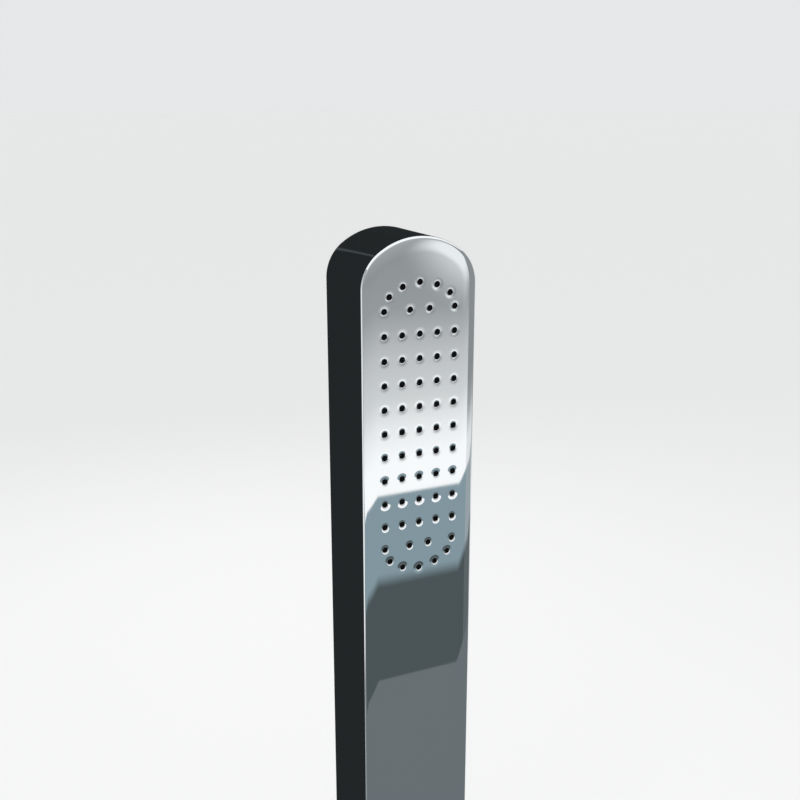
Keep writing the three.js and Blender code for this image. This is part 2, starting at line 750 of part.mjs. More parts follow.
/** Ceramic disc that opens one outlet at a time and turns with the spindle. */
function diverterDisc() {
  const frontY = diverterCartridgeBackY + slip;
  const shape = new THREE.Shape();
  shape.absarc(0, 0, cartridgeRadius - slip, 0, 2 * Math.PI, false);
  return slab(pierce(shape, discPortRadius, 0, cartridgeRadius / 2), frontY, frontY + discThickness, 8);
}

/** Ring screwed on a valve's nose; it clamps the valve to the face and covers the opening. */
function escutcheon() {
  const backY = faceY - gap;
  const frontY = backY - escutcheonThickness;
  const profile = [
    [noseRadius + slip, backY],
    [escutcheonRadius, backY],
    [escutcheonRadius, frontY + escutcheonChamfer],
    [escutcheonRadius - escutcheonChamfer, frontY],
    [noseRadius + slip, frontY],
  ];
  return turned(profile, 24);
}

/** Round knob, hollow at the back for the valve's nose and bored for the spindle. */
function knob(length) {
  const frontY = knobBackY - length;
  const recessRadius = noseRadius + knobNoseRoom;
  const recessY = knobBackY - knobRecessDepth;
  const boreRadius = spindleRadius + spindleRoom;
  const boreY = frontY + knobFrontWall;
  const profile = [
    [0, frontY],
    [knobRadius - knobChamfer, frontY],
    [knobRadius, frontY + knobChamfer],
    [knobRadius, knobBackY],
    [recessRadius, knobBackY],
    [recessRadius, recessY],
    [boreRadius, recessY],
    [boreRadius, boreY],
    [0, boreY],
  ];
  return turned(profile, 24);
}

const controlY = (knobLength) => knobBackY - knobLength / 2 - controlSetForward;
const buttonTop = knobRadius + gap + buttonTravel;
const buttonLow = buttonTop - buttonLength;

/** Temperature knob with the socket of its stop button. */
function temperatureKnob() {
  const socket = disc(buttonRadius + gap, buttonLow - buttonTravel - gap, buttonTop + reach);
  return cut(knob(temperatureKnobLength), upright(socket, 12, 0, controlY(temperatureKnobLength)));
}

/** Safety button that is pressed to turn past the usual temperature. */
function stopButton() {
  const profile = [
    [0, buttonLow],
    [buttonRadius, buttonLow],
    [buttonRadius, buttonTop - buttonEdge],
    [buttonRadius - buttonEdge, buttonTop],
    [0, buttonTop],
  ];
  return upright(profile, 12);
}

/** Round lever on the side of the diverter's knob. */
function diverterLever() {
  const low = knobRadius + gap;
  const high = low + leverLength;
  const profile = [
    [0, low],
    [leverRadius - leverNeck, low],
    [leverRadius, low + leverNeckLength],
    [leverRadius, high - leverEdge],
    [leverRadius - leverEdge, high],
    [0, high],
  ];
  return upright(profile, 12);
}

// ---------------------------------------------------------------- supply inlets, from an inlet's upright axis

/** Non-return valve inside one inlet leg. */
function checkValve() {
  const low = legLow + checkValveSetUp;
  return upright(ring(checkValveBore, pipeRadius - slip, low, low + checkValveLength), 8);
}

/** Union nut that holds a supply elbow on its leg. */
const unionNut = () => uprightNut(unionNutAcross, stubRadius + slip, legLow + gap, legLow + unionNutHeight);

/** Elbow from a leg towards the wall, with a threaded socket for the supply. */
function supplyElbow() {
  const mouthY = -inletSetback - inletY;
  const body = join(
    upright(disc(stubRadius, elbowHeight, legLow - gap), 12),
    turned(disc(stubRadius, 0, mouthY - reach), 12, 0, elbowHeight),
    turned(disc(collarRadius, mouthY - socketCollar, mouthY), 12, 0, elbowHeight),
  );
  const down = upright(disc(pipeRadius, elbowHeight, legLow + reach), 10);
  const back = turned(disc(pipeRadius, -reach, mouthY), 10, 0, elbowHeight);
  const socket = turned(disc(socketRadius, mouthY - socketDepth, mouthY + reach), 12, 0, elbowHeight);
  return cut(body, down, back, socket);
}

// ---------------------------------------------------------------- hoses and pipes, from the bottom edge

/** A hose that eases across the column from each [x, height] stop to the next. */
function easedHose(stops, bends, steps) {
  const route = [new THREE.Vector3(stops[0][0], hoseY, stops[0][1])];
  for (let i = 1; i < stops.length; i++) {
    const [[x0, z0], [x1, z1]] = [stops[i - 1], stops[i]];
    const pieces = x0 === x1 ? 3 : bends;
    for (let k = 1; k <= pieces; k++) {
      const t = k / pieces;
      const x = THREE.MathUtils.lerp(x0, x1, THREE.MathUtils.smootherstep(t, 0, 1));
      route.push(new THREE.Vector3(x, hoseY, THREE.MathUtils.lerp(z0, z1, t)));
    }
  }
  return hoseThrough(route, steps);
}

const hoseStart = diverterHeight + portTop + gap;
const straightEnd = 12;
const spreadLength = 50;

/** Braided hose from the diverter's right port up to the rain chamber. */
function rainHose() {
  const top = fieldHeight + bossHeight - elbowDrop - gap;
  const stops = [
    [portX, hoseStart],
    [portX, hoseStart + straightEnd],
    [hoseX, hoseStart + straightEnd + spreadLength],
    [hoseX, manifoldTop + pipeRadius],
    [0, top - straightEnd],
    [0, top],
  ];
  return easedHose(stops, 10, 48);
}

/** Braided hose from the diverter's left port up to the jet manifold. */
function jetHose() {
  const top = manifoldLow - gap;
  const stops = [
    [-portX, hoseStart],
    [-portX, hoseStart + straightEnd],
    [-hoseX, hoseStart + straightEnd + spreadLength],
    [-hoseX, mixerHeight + elbowHeight + collarRadius + pipeRadius],
    [0, top - straightEnd],
    [0, top],
  ];
  return easedHose(stops, 8, 24);
}

/** Straight copper pipe between two heights. */
const pipe = (low, high) => upright(ring(pipeBore, pipeRadius, low + gap, high - gap), 12);

/** Union nut at the lower end of a hose, from the diverter's axis. */
const hoseNut = () =>
  uprightNut(hoseNutAcross, pipeRadius + 2 * gap, portTop - hoseNutBelow, portTop + hoseNutAbove);

/** Threaded outlet under the column, where a hand shower's hose screws on. */
function hoseOutlet() {
  const seatY = capSetUp - gap;
  const collarLow = seatY - outletCollarHeight;
  const tip = collarLow - outletThreadLength;
  const profile = [
    [outletBore, tip - reach],
    [outletRadius - reach, tip - reach],
    [outletRadius, tip],
    [outletRadius, collarLow],
    [outletCollarRadius, collarLow],
    [outletCollarRadius, seatY],
    [outletRadius, seatY],
    [outletRadius, outletTop],
    [pipeRadius + slip, outletTop],
    [pipeRadius + slip, pipeSeat],
    [outletBore, pipeSeat],
  ];
  return upright(profile);
}

/** Nut that clamps the outlet in the cap. */
function outletBacknut() {
  const low = capSetUp + capThickness + gap;
  return uprightNut(outletNutAcross, outletRadius + slip, low, low + outletNutHeight);
}

/** Clip on the casing's side that holds the rain hose, from the hose's axis. */
function hoseClip() {
  const inner = pipeRadius + 2 * gap;
  const loop = upright(ring(inner, inner + clipWall, -clipHalfHeight, clipHalfHeight), 12);
  const footX = [inner + clipWall / 3, innerHalf - gap - hoseX];
  return join(loop, block(...footX, -clipHalfDepth, clipHalfDepth, -clipHalfHeight, clipHalfHeight));
}

// ---------------------------------------------------------------- assembly

const column = new THREE.Group();

/** A group that stands at a height above the column's bottom edge. */
function assemblyAt(height) {
  const group = new THREE.Group();
  group.position.z = height;
  column.add(group);
  return group;
}

/** Adds a named piece to a group at a place within it. */
function add(group, name, geometry, material, x = 0, y = 0, z = 0) {
  const mesh = new THREE.Mesh(geometry, material);
  mesh.name = name;
  mesh.position.set(x, y, z);
  group.add(mesh);
}

const body = assemblyAt(0);
add(body, "casing", casing(), mirrorSteel);
add(body, "bottom_cap", bottomCap(), satinSteel);
add(body, "cap_screw_left", capScrew(-1), satinSteel, 0, outletY, capScrewRise);
add(body, "cap_screw_right", capScrew(1), satinSteel, 0, outletY, capScrewRise);

for (const [place, height] of Object.entries(bracketHeights)) {
  const fixing = assemblyAt(height);
  add(fixing, place + "_wall_bracket", wallBracket(), satinSteel);
  add(fixing, place + "_crossbar", crossbar(), satinSteel);
}

const rainHead = assemblyAt(fieldHeight);
add(rainHead, "nozzle_mat", nozzleMat(), blackRubber);
add(rainHead, "rain_chamber", rainChamber(), darkPlastic);
for (const [place, [x, z]] of Object.entries(studPlaces)) {
  add(rainHead, "chamber_stud_" + place, chamberStud(), satinSteel, x, 0, z);
  add(rainHead, "chamber_nut_" + place, chamberNut(), satinSteel, x, 0, z);
}
add(rainHead, "rain_inlet_elbow", rainElbow(), brass, 0, 0, bossHeight);

jetHeights.forEach((height, i) => {
  const jet = assemblyAt(height);
  add(jet, "jet_housing_" + (i + 1), jetHousing(), chrome);
  add(jet, "jet_nozzle_" + (i + 1), jetNozzle(), chrome);
  add(jet, "jet_backnut_" + (i + 1), jetBacknut(), whitePlastic);
});
add(body, "jet_manifold", jetManifold(), whitePlastic);

const mixer = assemblyAt(mixerHeight);
add(mixer, "mixer_body", mixerBody(), brass);
add(mixer, "thermostat_cartridge", cartridge(mixerBackY - mixerBack - gap), whitePlastic);
const spindleBackY = mixerBackY - mixerBack - spindleEnd;
add(mixer, "temperature_spindle", spindle(temperatureKnobLength, spindleBackY), brass);
add(mixer, "temperature_escutcheon", escutcheon(), chrome);
add(mixer, "temperature_knob", temperatureKnob(), chrome);
add(mixer, "stop_button", stopButton(), redPlastic, 0, controlY(temperatureKnobLength), 0);
for (const [supply, x] of [["hot", -inletX], ["cold", inletX]]) {
  add(mixer, supply + "_supply_elbow", supplyElbow(), brass, x, inletY);
  add(mixer, supply + "_union_nut", unionNut(), brass, x, inletY);
  add(mixer, supply + "_check_valve", checkValve(), whitePlastic, x, inletY);
}

const diverter = assemblyAt(diverterHeight);
add(diverter, "diverter_body", diverterBody(), brass);
add(diverter, "diverter_cartridge", cartridge(diverterCartridgeBackY), whitePlastic);
add(diverter, "diverter_spindle", spindle(diverterKnobLength, diverterCartridgeBackY), brass);
add(diverter, "diverter_disc", diverterDisc(), ceramic);
add(diverter, "diverter_escutcheon", escutcheon(), chrome);
add(diverter, "diverter_knob", knob(diverterKnobLength), chrome);
add(diverter, "diverter_lever", diverterLever(), chrome, 0, controlY(diverterKnobLength), 0);
add(diverter, "rain_hose_nut", hoseNut(), brass, portX, hoseY);
add(diverter, "jet_hose_nut", hoseNut(), brass, -portX, hoseY);

const linkLow = diverterHeight + diverterRadius - stubSocket;
const outletHigh = diverterHeight - diverterRadius + stubSocket;
add(body, "rain_hose", rainHose(), braid);
add(body, "jet_hose", jetHose(), braid);
add(body, "link_pipe", pipe(linkLow, mixerHeight - mixerRadius + stubSocket), copper, 0, linkY);
add(body, "outlet_pipe", pipe(pipeSeat, outletHigh), copper, 0, outletY);
add(body, "hose_outlet", hoseOutlet(), chrome, 0, outletY);
add(body, "outlet_backnut", outletBacknut(), brass, 0, outletY);
const clipRoom = manifoldTop - mixerHeight;
add(body, "hose_clip_lower", hoseClip(), darkPlastic, hoseX, hoseY, mixerHeight + clipRoom / 4);
add(body, "hose_clip_upper", hoseClip(), darkPlastic, hoseX, hoseY, mixerHeight + (3 * clipRoom) / 4);

column.position.z = -lowerBracketHeight;

export default column;
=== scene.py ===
"""Finished look of a wall-mounted rain shower column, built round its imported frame.

Each sub-assembly is a class that models its own pieces and dresses them. Lengths are in metres, +Z is up,
the wall is the plane y = 0 and the column's face looks towards -Y.
"""

import logging
import math
from dataclasses import dataclass
from enum import Enum
from typing import Callable, Iterable, Sequence

import bpy
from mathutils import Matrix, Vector


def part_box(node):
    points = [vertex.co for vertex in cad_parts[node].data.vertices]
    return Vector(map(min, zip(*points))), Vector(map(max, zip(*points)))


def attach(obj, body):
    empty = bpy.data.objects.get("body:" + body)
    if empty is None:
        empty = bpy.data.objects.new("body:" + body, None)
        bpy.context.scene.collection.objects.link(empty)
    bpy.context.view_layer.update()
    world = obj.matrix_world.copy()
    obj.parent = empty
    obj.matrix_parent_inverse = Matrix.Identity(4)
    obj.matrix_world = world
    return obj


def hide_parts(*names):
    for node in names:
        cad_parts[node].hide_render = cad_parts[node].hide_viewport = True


logging.basicConfig(level=logging.INFO, format="%(message)s")
log = logging.getLogger("shower_column")

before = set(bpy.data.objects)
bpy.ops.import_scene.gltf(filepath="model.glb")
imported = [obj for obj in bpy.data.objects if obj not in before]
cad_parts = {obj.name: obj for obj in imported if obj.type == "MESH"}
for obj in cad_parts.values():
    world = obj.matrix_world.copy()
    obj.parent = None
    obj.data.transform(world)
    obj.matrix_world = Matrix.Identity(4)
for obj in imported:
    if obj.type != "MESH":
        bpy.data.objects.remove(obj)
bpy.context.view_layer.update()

MM = 0.001
Colour = tuple[float, float, float]
Point = tuple[float, float, float]
Profile = Sequence[tuple[float, float]]


# ---------------------------------------------------------------- materials


class Graph:
    """A small builder for one material's nodes."""

    def __init__(self, name: str) -> None:
        """Start a material whose surface is a Principled shader.

        Args:
            name: Name of the material.
        """
        self.material = bpy.data.materials.new(name)
        self.material.use_nodes = True
        self.nodes = self.material.node_tree.nodes
        self.links = self.material.node_tree.links
        self.shader = self.nodes["Principled BSDF"]
        self.place = self.nodes.new("ShaderNodeTexCoord").outputs["Object"]

    def set(self, **sockets: float | Colour) -> "Graph":
        """Set constant sockets of the shader, told by name with underscores for spaces.

        Args:
            sockets: Values by the name of their socket.

        Returns:
            This graph.
        """
        for name, value in sockets.items():
            socket = self.shader.inputs[name.replace("_", " ")]
            socket.default_value = (*value, 1.0) if isinstance(value, tuple) else value
        return self

    def stretched(self, scale: Point) -> bpy.types.NodeSocket:
        """Object coordinates scaled along each axis.

        Args:
            scale: Factor along x, y and z.

        Returns:
            The scaled coordinate.
        """
        mapping = self.nodes.new("ShaderNodeMapping")
        mapping.inputs["Scale"].default_value = scale
        self.links.new(self.place, mapping.inputs["Vector"])
        return mapping.outputs["Vector"]

    def noise(
        self,
        scale: float,
        detail: float = 3.0,
        at: bpy.types.NodeSocket | None = None,
    ) -> bpy.types.NodeSocket:
        """A noise value at a scale.

        Args:
            scale: Waves in each metre.
            detail: Octaves of the noise.
            at: Coordinate to read, or None for plain object coordinates.

        Returns:
            The noise's value, round 0.5.
        """
        node = self.nodes.new("ShaderNodeTexNoise")
        node.inputs["Scale"].default_value = scale
        node.inputs["Detail"].default_value = detail
        self.links.new(at or self.place, node.inputs["Vector"])
        return node.outputs["Fac"]

    def remap(
        self,
        value: bpy.types.NodeSocket,
        low: float,
        high: float,
        start: float = 0.3,
        end: float = 0.7,
    ) -> bpy.types.NodeSocket:
        """Spread a value that runs from start to end over the range from low to high.

        Args:
            value: Value to spread.
            low: Result at the start.
            high: Result at the end.
            start: Value that gives low.
            end: Value that gives high.

        Returns:
            The new value.
        """
        node = self.nodes.new("ShaderNodeMapRange")
        for name, number in (("From Min", start), ("From Max", end), ("To Min", low), ("To Max", high)):
            node.inputs[name].default_value = number
        self.links.new(value, node.inputs["Value"])
        return node.outputs["Result"]

    def blend(
        self,
        value: bpy.types.NodeSocket,
        low: Colour,
        high: Colour,
        start: float = 0.3,
        end: float = 0.7,
    ) -> bpy.types.NodeSocket:
        """Colour that goes from low to high as a value goes from start to end.

        Args:
            value: Value that chooses the colour.
            low: Colour at the start.
            high: Colour at the end.
            start: Value that gives low.
            end: Value that gives high.

        Returns:
            The colour.
        """
        node = self.nodes.new("ShaderNodeValToRGB")
        node.color_ramp.elements[0].position = start
        node.color_ramp.elements[0].color = (*low, 1.0)
        node.color_ramp.elements[1].position = end
        node.color_ramp.elements[1].color = (*high, 1.0)
        self.links.new(value, node.inputs["Fac"])
        return node.outputs["Color"]

    def add(
        self,
        first: bpy.types.NodeSocket,
        second: bpy.types.NodeSocket,
        share: float = 0.5,
    ) -> bpy.types.NodeSocket:
        """Mix two values; share is the part of the second.

        Args:
            first: First value.
            second: Second value.
            share: Part that the second has.

        Returns:
            The mix.
        """
        node = self.nodes.new("ShaderNodeMix")
        node.inputs["Factor"].default_value = share
        self.links.new(first, node.inputs["A"])
        self.links.new(second, node.inputs["B"])
        return node.outputs["Result"]

    def bump(self, height: bpy.types.NodeSocket, distance: float, strength: float = 1.0) -> "Graph":
        """Give the shader a bump from a height value.

        Args:
            height: Height from 0 to 1.
            distance: How many metres a height of 1 stands for.
            strength: Share of the effect.

        Returns:
            This graph.
        """
        node = self.nodes.new("ShaderNodeBump")
        node.inputs["Distance"].default_value = distance
        node.inputs["Strength"].default_value = strength
        self.links.new(height, node.inputs["Height"])
        self.links.new(node.outputs["Normal"], self.shader.inputs["Normal"])
        return self

    def drive(self, socket: str, value: bpy.types.NodeSocket) -> "Graph":
        """Link a value or colour to one of the shader's sockets."""
        self.links.new(value, self.shader.inputs[socket])
        return self


@dataclass(frozen=True)
class MirrorSteel:
    """Mirror-polished stainless sheet with the faint haze and wipe marks of a bathroom surface."""

    colour: Colour = (0.80, 0.815, 0.825)
    smear_colour: Colour = (0.775, 0.795, 0.81)
    roughness: tuple[float, float] = (0.012, 0.036)

    def material(self) -> bpy.types.Material:
        """Build the material.

        Returns:
            The material.
        """
        g = Graph("mirror_steel").set(Metallic=1.0)
        smears = g.noise(9.0, 4.0, g.stretched((1.0, 1.0, 0.35)))
        grain = g.noise(900.0, 2.0, g.stretched((1.0, 1.0, 0.05)))
        g.drive("Base Color", g.blend(smears, self.colour, self.smear_colour))
        g.drive("Roughness", g.remap(g.add(smears, grain, 0.35), *self.roughness))
        return g.material


@dataclass(frozen=True)
class SatinSteel:
    """Plain stainless with a fine rolled grain."""

    colour: Colour = (0.46, 0.47, 0.48)
    dark: Colour = (0.33, 0.34, 0.35)

    def material(self) -> bpy.types.Material:
        """Build the material.

        Returns:
            The material.
        """
        g = Graph("satin_steel").set(Metallic=1.0)
        grain = g.noise(420.0, 3.0, g.stretched((0.06, 1.0, 1.0)))
        stain = g.noise(30.0, 5.0)
        g.drive("Base Color", g.blend(g.add(stain, grain, 0.5), self.dark, self.colour))
        g.drive("Roughness", g.remap(grain, 0.28, 0.5))
        g.bump(grain, 0.02 * MM)
        return g.material


@dataclass(frozen=True)
class Chrome:
    """Bright chrome plate on a turned part."""

    colour: Colour = (0.86, 0.87, 0.885)
    water: Colour = (0.79, 0.8, 0.815)

    def material(self) -> bpy.types.Material:
        """Build the material.

        Returns:
            The material.
        """
        g = Graph("chrome").set(Metallic=1.0)
        film = g.noise(60.0, 5.0)
        spots = g.noise(700.0, 2.0)
        g.drive("Base Color", g.blend(film, self.water, self.colour))
        g.drive("Roughness", g.remap(g.add(film, spots, 0.4), 0.03, 0.1))
        return g.material


@dataclass(frozen=True)
class RawMetal:
    """Machined or drawn metal that has started to tarnish."""

    name: str
    bright: Colour
    tarnish: Colour
    roughness: tuple[float, float] = (0.22, 0.48)

    def material(self) -> bpy.types.Material:
        """Build the material.

        Returns:
            The material.
        """
        g = Graph(self.name).set(Metallic=1.0)
        patches = g.noise(45.0, 6.0)
        turning = g.noise(1500.0, 2.0)
        g.drive("Base Color", g.blend(g.add(patches, turning, 0.3), self.tarnish, self.bright))
        g.drive("Roughness", g.remap(g.add(patches, turning, 0.5), self.roughness[1], self.roughness[0]))
        g.bump(turning, 0.03 * MM)
        return g.material


@dataclass(frozen=True)
class Moulded:
    """Moulded plastic, rubber or ceramic with a fine texture."""

    name: str
    colour: Colour
    shade: Colour
    roughness: tuple[float, float] = (0.4, 0.6)
    grain: float = 1800.0
    depth: float = 0.03 * MM
    shine: float = 0.5

    def material(self) -> bpy.types.Material:
        """Build the material.

        Returns:
            The material.
        """
        g = Graph(self.name)
        g.shader.inputs["Specular IOR Level"].default_value = self.shine
        flow = g.noise(35.0, 4.0)
        grain = g.noise(self.grain, 3.0)
        g.drive("Base Color", g.blend(g.add(flow, grain, 0.4), self.shade, self.colour))
        g.drive("Roughness", g.remap(grain, *self.roughness))
        g.bump(grain, self.depth)
        return g.material


@dataclass(frozen=True)
class SteelBraid:
    """Crossing stainless wires of a braided hose, laid out on the hose's own UV map."""

    colour: Colour = (0.62, 0.63, 0.64)
    gap_colour: Colour = (0.05, 0.05, 0.055)

    def material(self) -> bpy.types.Material:
        """Build the material.

        Returns:
            The material.
        """
        g = Graph("steel_braid").set(Metallic=0.9)
        uv = g.nodes.new("ShaderNodeUVMap").outputs["UV"]
        waves = []
        for turn in (45.0, -45.0):
            mapping = g.nodes.new("ShaderNodeMapping")
            mapping.inputs["Rotation"].default_value = (0.0, 0.0, math.radians(turn))
            g.links.new(uv, mapping.inputs["Vector"])
            wave = g.nodes.new("ShaderNodeTexWave")
            wave.inputs["Scale"].default_value = 2.2
            g.links.new(mapping.outputs["Vector"], wave.inputs["Vector"])
            waves.append(wave.outputs["Fac"])
        weave = g.add(waves[0], waves[1], 0.5)
        g.drive("Base Color", g.blend(weave, self.gap_colour, self.colour, 0.15, 0.6))
        g.drive("Roughness", g.remap(weave, 0.5, 0.25, 0.2, 0.8))
        g.bump(weave, 0.25 * MM)
        return g.material


class Finish(Enum):
    """The finishes of the column, by the record's material slots."""

    MIRROR_STEEL = "mirror_steel"
    SATIN_STEEL = "satin_steel"
    CHROME = "chrome"
    BRASS = "brass"
    COPPER = "copper"
    STEEL_BRAID = "steel_braid"
    # Black silicone whose colour is made darker than real rubber: partly its own black, partly painted shade
    # of the spray holes.
    BLACK_SILICONE = "black_silicone"
    DARK_PLASTIC = "dark_plastic"
    WHITE_PLASTIC = "white_plastic"
    RED_PLASTIC = "red_plastic"
    CERAMIC = "ceramic"


class Paintshop:
    """Keeps one material for each finish and puts it on pieces."""

    recipes = {
        Finish.MIRROR_STEEL: MirrorSteel(),
        Finish.SATIN_STEEL: SatinSteel(),
        Finish.CHROME: Chrome(),
        Finish.BRASS: RawMetal("brass", (0.72, 0.50, 0.20), (0.44, 0.27, 0.09)),
        Finish.COPPER: RawMetal("copper", (0.80, 0.42, 0.26), (0.45, 0.18, 0.09), (0.18, 0.4)),
        Finish.STEEL_BRAID: SteelBraid(),
        # Painted shade: this silicone is far darker than real black rubber so that the spray holes and jet
        # faces read black; its colour is partly the silicone's own black and partly painted shade.
        Finish.BLACK_SILICONE: Moulded(
            "black_silicone", (0.003, 0.003, 0.0033), (0.0015, 0.0015, 0.0017), (0.55, 0.75), shine=0.12
        ),
        Finish.DARK_PLASTIC: Moulded("dark_plastic", (0.035, 0.036, 0.039), (0.022, 0.023, 0.025)),
        Finish.WHITE_PLASTIC: Moulded("white_plastic", (0.74, 0.74, 0.70), (0.64, 0.635, 0.59)),
        Finish.RED_PLASTIC: Moulded("red_plastic", (0.48, 0.02, 0.02), (0.36, 0.012, 0.014), (0.2, 0.3)),
        Finish.CERAMIC: Moulded("ceramic", (0.72, 0.69, 0.63), (0.66, 0.63, 0.57), (0.15, 0.3)),
    }

    def __init__(self) -> None:
        """Build every material once."""
        self.materials = {finish: recipe.material() for finish, recipe in self.recipes.items()}

    def dress(self, piece: bpy.types.Object, finish: Finish) -> bpy.types.Object:
        """Give a piece one finish all over.

        Args:
            piece: Mesh object to dress.
            finish: Its finish.

        Returns:
            The piece.
        """
        piece.data.materials.clear()
        piece.data.materials.append(self.materials[finish])
        return piece


# ---------------------------------------------------------------- modelling


class Bench:
    """Modelling moves that several sub-assemblies share. Each works on the active object."""

    @staticmethod
    def drop() -> None:
        """Leave edit mode and deselect everything."""
        if bpy.context.object and bpy.context.object.mode != "OBJECT":
            bpy.ops.object.mode_set(mode="OBJECT")
        bpy.ops.object.select_all(action="DESELECT")

    @staticmethod
    def pick(*pieces: bpy.types.Object) -> None:
        """Select some pieces and make the first one active.

        Args:
            pieces: Pieces to select, the active one first.
        """
        Bench.drop()
        for piece in pieces:
            piece.select_set(True)
        bpy.context.view_layer.objects.active = pieces[0]

    @staticmethod
    def adopt(name: str) -> bpy.types.Object:
        """Name the newest object, leave edit mode and put the object's place in its mesh.

        Args:
            name: Name of the piece.

        Returns:
            The piece.
        """
        Bench.object_mode()
        piece = bpy.context.object
        piece.name = name
        piece.data.name = name
        bpy.ops.object.transform_apply(location=True, rotation=True, scale=True)
        return piece

    @staticmethod
    def object_mode() -> None:
        """Go to object mode."""
        if bpy.context.object.mode != "OBJECT":
            bpy.ops.object.mode_set(mode="OBJECT")

    @staticmethod
    def edit(select: str = "VERT") -> None:
        """Go to edit mode with one kind of element to select.

        Args:
            select: VERT, EDGE or FACE.
        """
        if bpy.context.object.mode != "EDIT":
            bpy.ops.object.mode_set(mode="EDIT")
        bpy.ops.mesh.select_mode(type=select)

    @staticmethod
    def choose(test: Callable[[Vector], bool], kind: str = "VERT") -> int:
        """Select the active mesh's vertices, edges or faces whose middle passes a test.

        Args:
            test: Takes an element's middle and says whether to select it.
            kind: VERT, EDGE or FACE.

        Returns:
            How many elements are selected.
        """
        Bench.edit(kind)
        bpy.ops.mesh.select_all(action="DESELECT")
        Bench.object_mode()
        mesh = bpy.context.object.data
        middles = [vertex.co for vertex in mesh.vertices]
        found = 0
        if kind == "VERT":
            for vertex in mesh.vertices:
                vertex.select = test(vertex.co)
                found += vertex.select
        elif kind == "EDGE":
            for edge in mesh.edges:
                edge.select = test(sum((middles[v] for v in edge.vertices), Vector()) / 2)
                found += edge.select
        else:
            for face in mesh.polygons:
                face.select = test(face.center)
                found += face.select
        Bench.edit(kind)
        return found

    @staticmethod
    def chain(points: Sequence[Point]) -> None:
        """Draw an open chain of edges, which stays selected in edit mode.

        Args:
            points: The chain's corners in order.
        """
        Bench.drop()
        bpy.ops.mesh.primitive_plane_add(size=MM, location=points[0])
        Bench.edit()
        bpy.ops.mesh.select_all(action="SELECT")
        bpy.ops.mesh.merge(type="CENTER")
        for here, there in zip(points, points[1:]):
            step = Vector(there) - Vector(here)
            bpy.ops.mesh.extrude_region_move(TRANSFORM_OT_translate={"value": step})
        bpy.ops.mesh.select_all(action="SELECT")

    @staticmethod
    def clean(merge: float = 0.002 * MM) -> None:
        """Merge doubles and turn every face outwards.

        Args:
            merge: Distance under which two corners become one.
        """
        Bench.edit()
        bpy.ops.mesh.select_all(action="SELECT")
        bpy.ops.mesh.remove_doubles(threshold=merge)
        bpy.ops.mesh.normals_make_consistent(inside=False)
        Bench.object_mode()

    @staticmethod
    def apply(piece: bpy.types.Object, kind: str, **settings: object) -> None:
        """Add a modifier to a piece, set it and apply it.

        Args:
            piece: Piece to change.
            kind: Kind of the modifier.
            settings: Its settings by name.
        """
        Bench.pick(piece)
        modifier = piece.modifiers.new(kind.lower(), kind)
        for name, value in settings.items():
            setattr(modifier, name, value)
        bpy.ops.object.modifier_apply(modifier=modifier.name)

    @staticmethod
    def smooth(piece: bpy.types.Object, degrees: float = 32.0) -> bpy.types.Object:
        """Shade a piece smooth, with its sharper corners kept.

        Args:
            piece: Piece to shade.
            degrees: Angle from which a corner stays sharp.

        Returns:
            The piece.
        """
        Bench.pick(piece)
        bpy.ops.object.shade_smooth_by_angle(angle=math.radians(degrees))
        return piece

    @staticmethod
    def copy(piece: bpy.types.Object, name: str, shift: Point) -> bpy.types.Object:
        """Copy a piece with its own mesh and move it.

        Args:
            piece: Piece to copy.
            name: Name of the copy.
            shift: How far to move it.

        Returns:
            The copy.
        """
        Bench.pick(piece)
        bpy.ops.object.duplicate(linked=False)
        bpy.ops.transform.translate(value=shift)
        return Bench.adopt(name)

    @staticmethod
    def join(pieces: Sequence[bpy.types.Object], name: str) -> bpy.types.Object:
        """Join pieces into one object.

        Args:
            pieces: Pieces to join.
            name: Name of the whole.

        Returns:
            The joined piece.
        """
        Bench.pick(*pieces)
        bpy.ops.object.join()
        return Bench.adopt(name)

    @staticmethod
    def turned(
        name: str,
        profile: Profile,
        at: Point,
        axis: Point = (0.0, 1.0, 0.0),
        steps: int = 48,
        edge: float = 0.0,
    ) -> bpy.types.Object:
        """Model a turned piece: draw its half section and spin it round.

        Args:
            name: Name of the piece.
            profile: Corners as (radius, place along the axis); closed by its own axis or by itself.
            at: Point on the axis from which places count.
            axis: Direction of the axis.
            steps: Faces round the piece.
            edge: Width of the small bevel on its sharp corners, or 0 for none.

        Returns:
            The piece, closed and facing outwards.
        """
        along = Vector(axis).normalized()
        across = along.orthogonal().normalized()
        start = Vector(at)
        corners = [tuple(start + along * place + across * radius) for radius, place in profile]
        Bench.chain(corners)
        bpy.ops.mesh.spin(steps=steps, angle=2 * math.pi, center=start, axis=along)
        Bench.clean()
        piece = Bench.adopt(name)
        if edge:
            Bench.bevel(piece, edge)
        return Bench.smooth(piece)

    @staticmethod
    def bevel(piece: bpy.types.Object, width: float, degrees: float = 30.0, segments: int = 2) -> None:
        """Round a piece's sharp edges a little.

        Args:
            piece: Piece to round.
            width: Width of the bevel.
            degrees: Angle from which an edge counts as sharp.
            segments: Steps across the bevel.
        """
        Bench.apply(
            piece,
            "BEVEL",
            width=width,
            segments=segments,
            limit_method="ANGLE",
            angle_limit=math.radians(degrees),
            harden_normals=False,
        )

    @staticmethod
    def plate(name: str, outline: Sequence[Point], depth: Point, edge: float = 0.0) -> bpy.types.Object:
        """Model a plate: draw its outline, fill it and extrude it.

        Args:
            name: Name of the plate.
            outline: Corners of the outline in order, not repeated at the end.
            depth: Extrusion as a vector.
            edge: Width of the bevel on its edges, or 0 for none.

        Returns:
            The plate, closed and facing outwards.
        """
        Bench.chain([*outline, outline[0]])
        bpy.ops.mesh.remove_doubles(threshold=0.002 * MM)
        bpy.ops.mesh.edge_face_add()
        bpy.ops.mesh.extrude_region_move(TRANSFORM_OT_translate={"value": depth})
        Bench.clean()
        piece = Bench.adopt(name)
        if edge:
            Bench.bevel(piece, edge, 40.0)
        return Bench.smooth(piece)

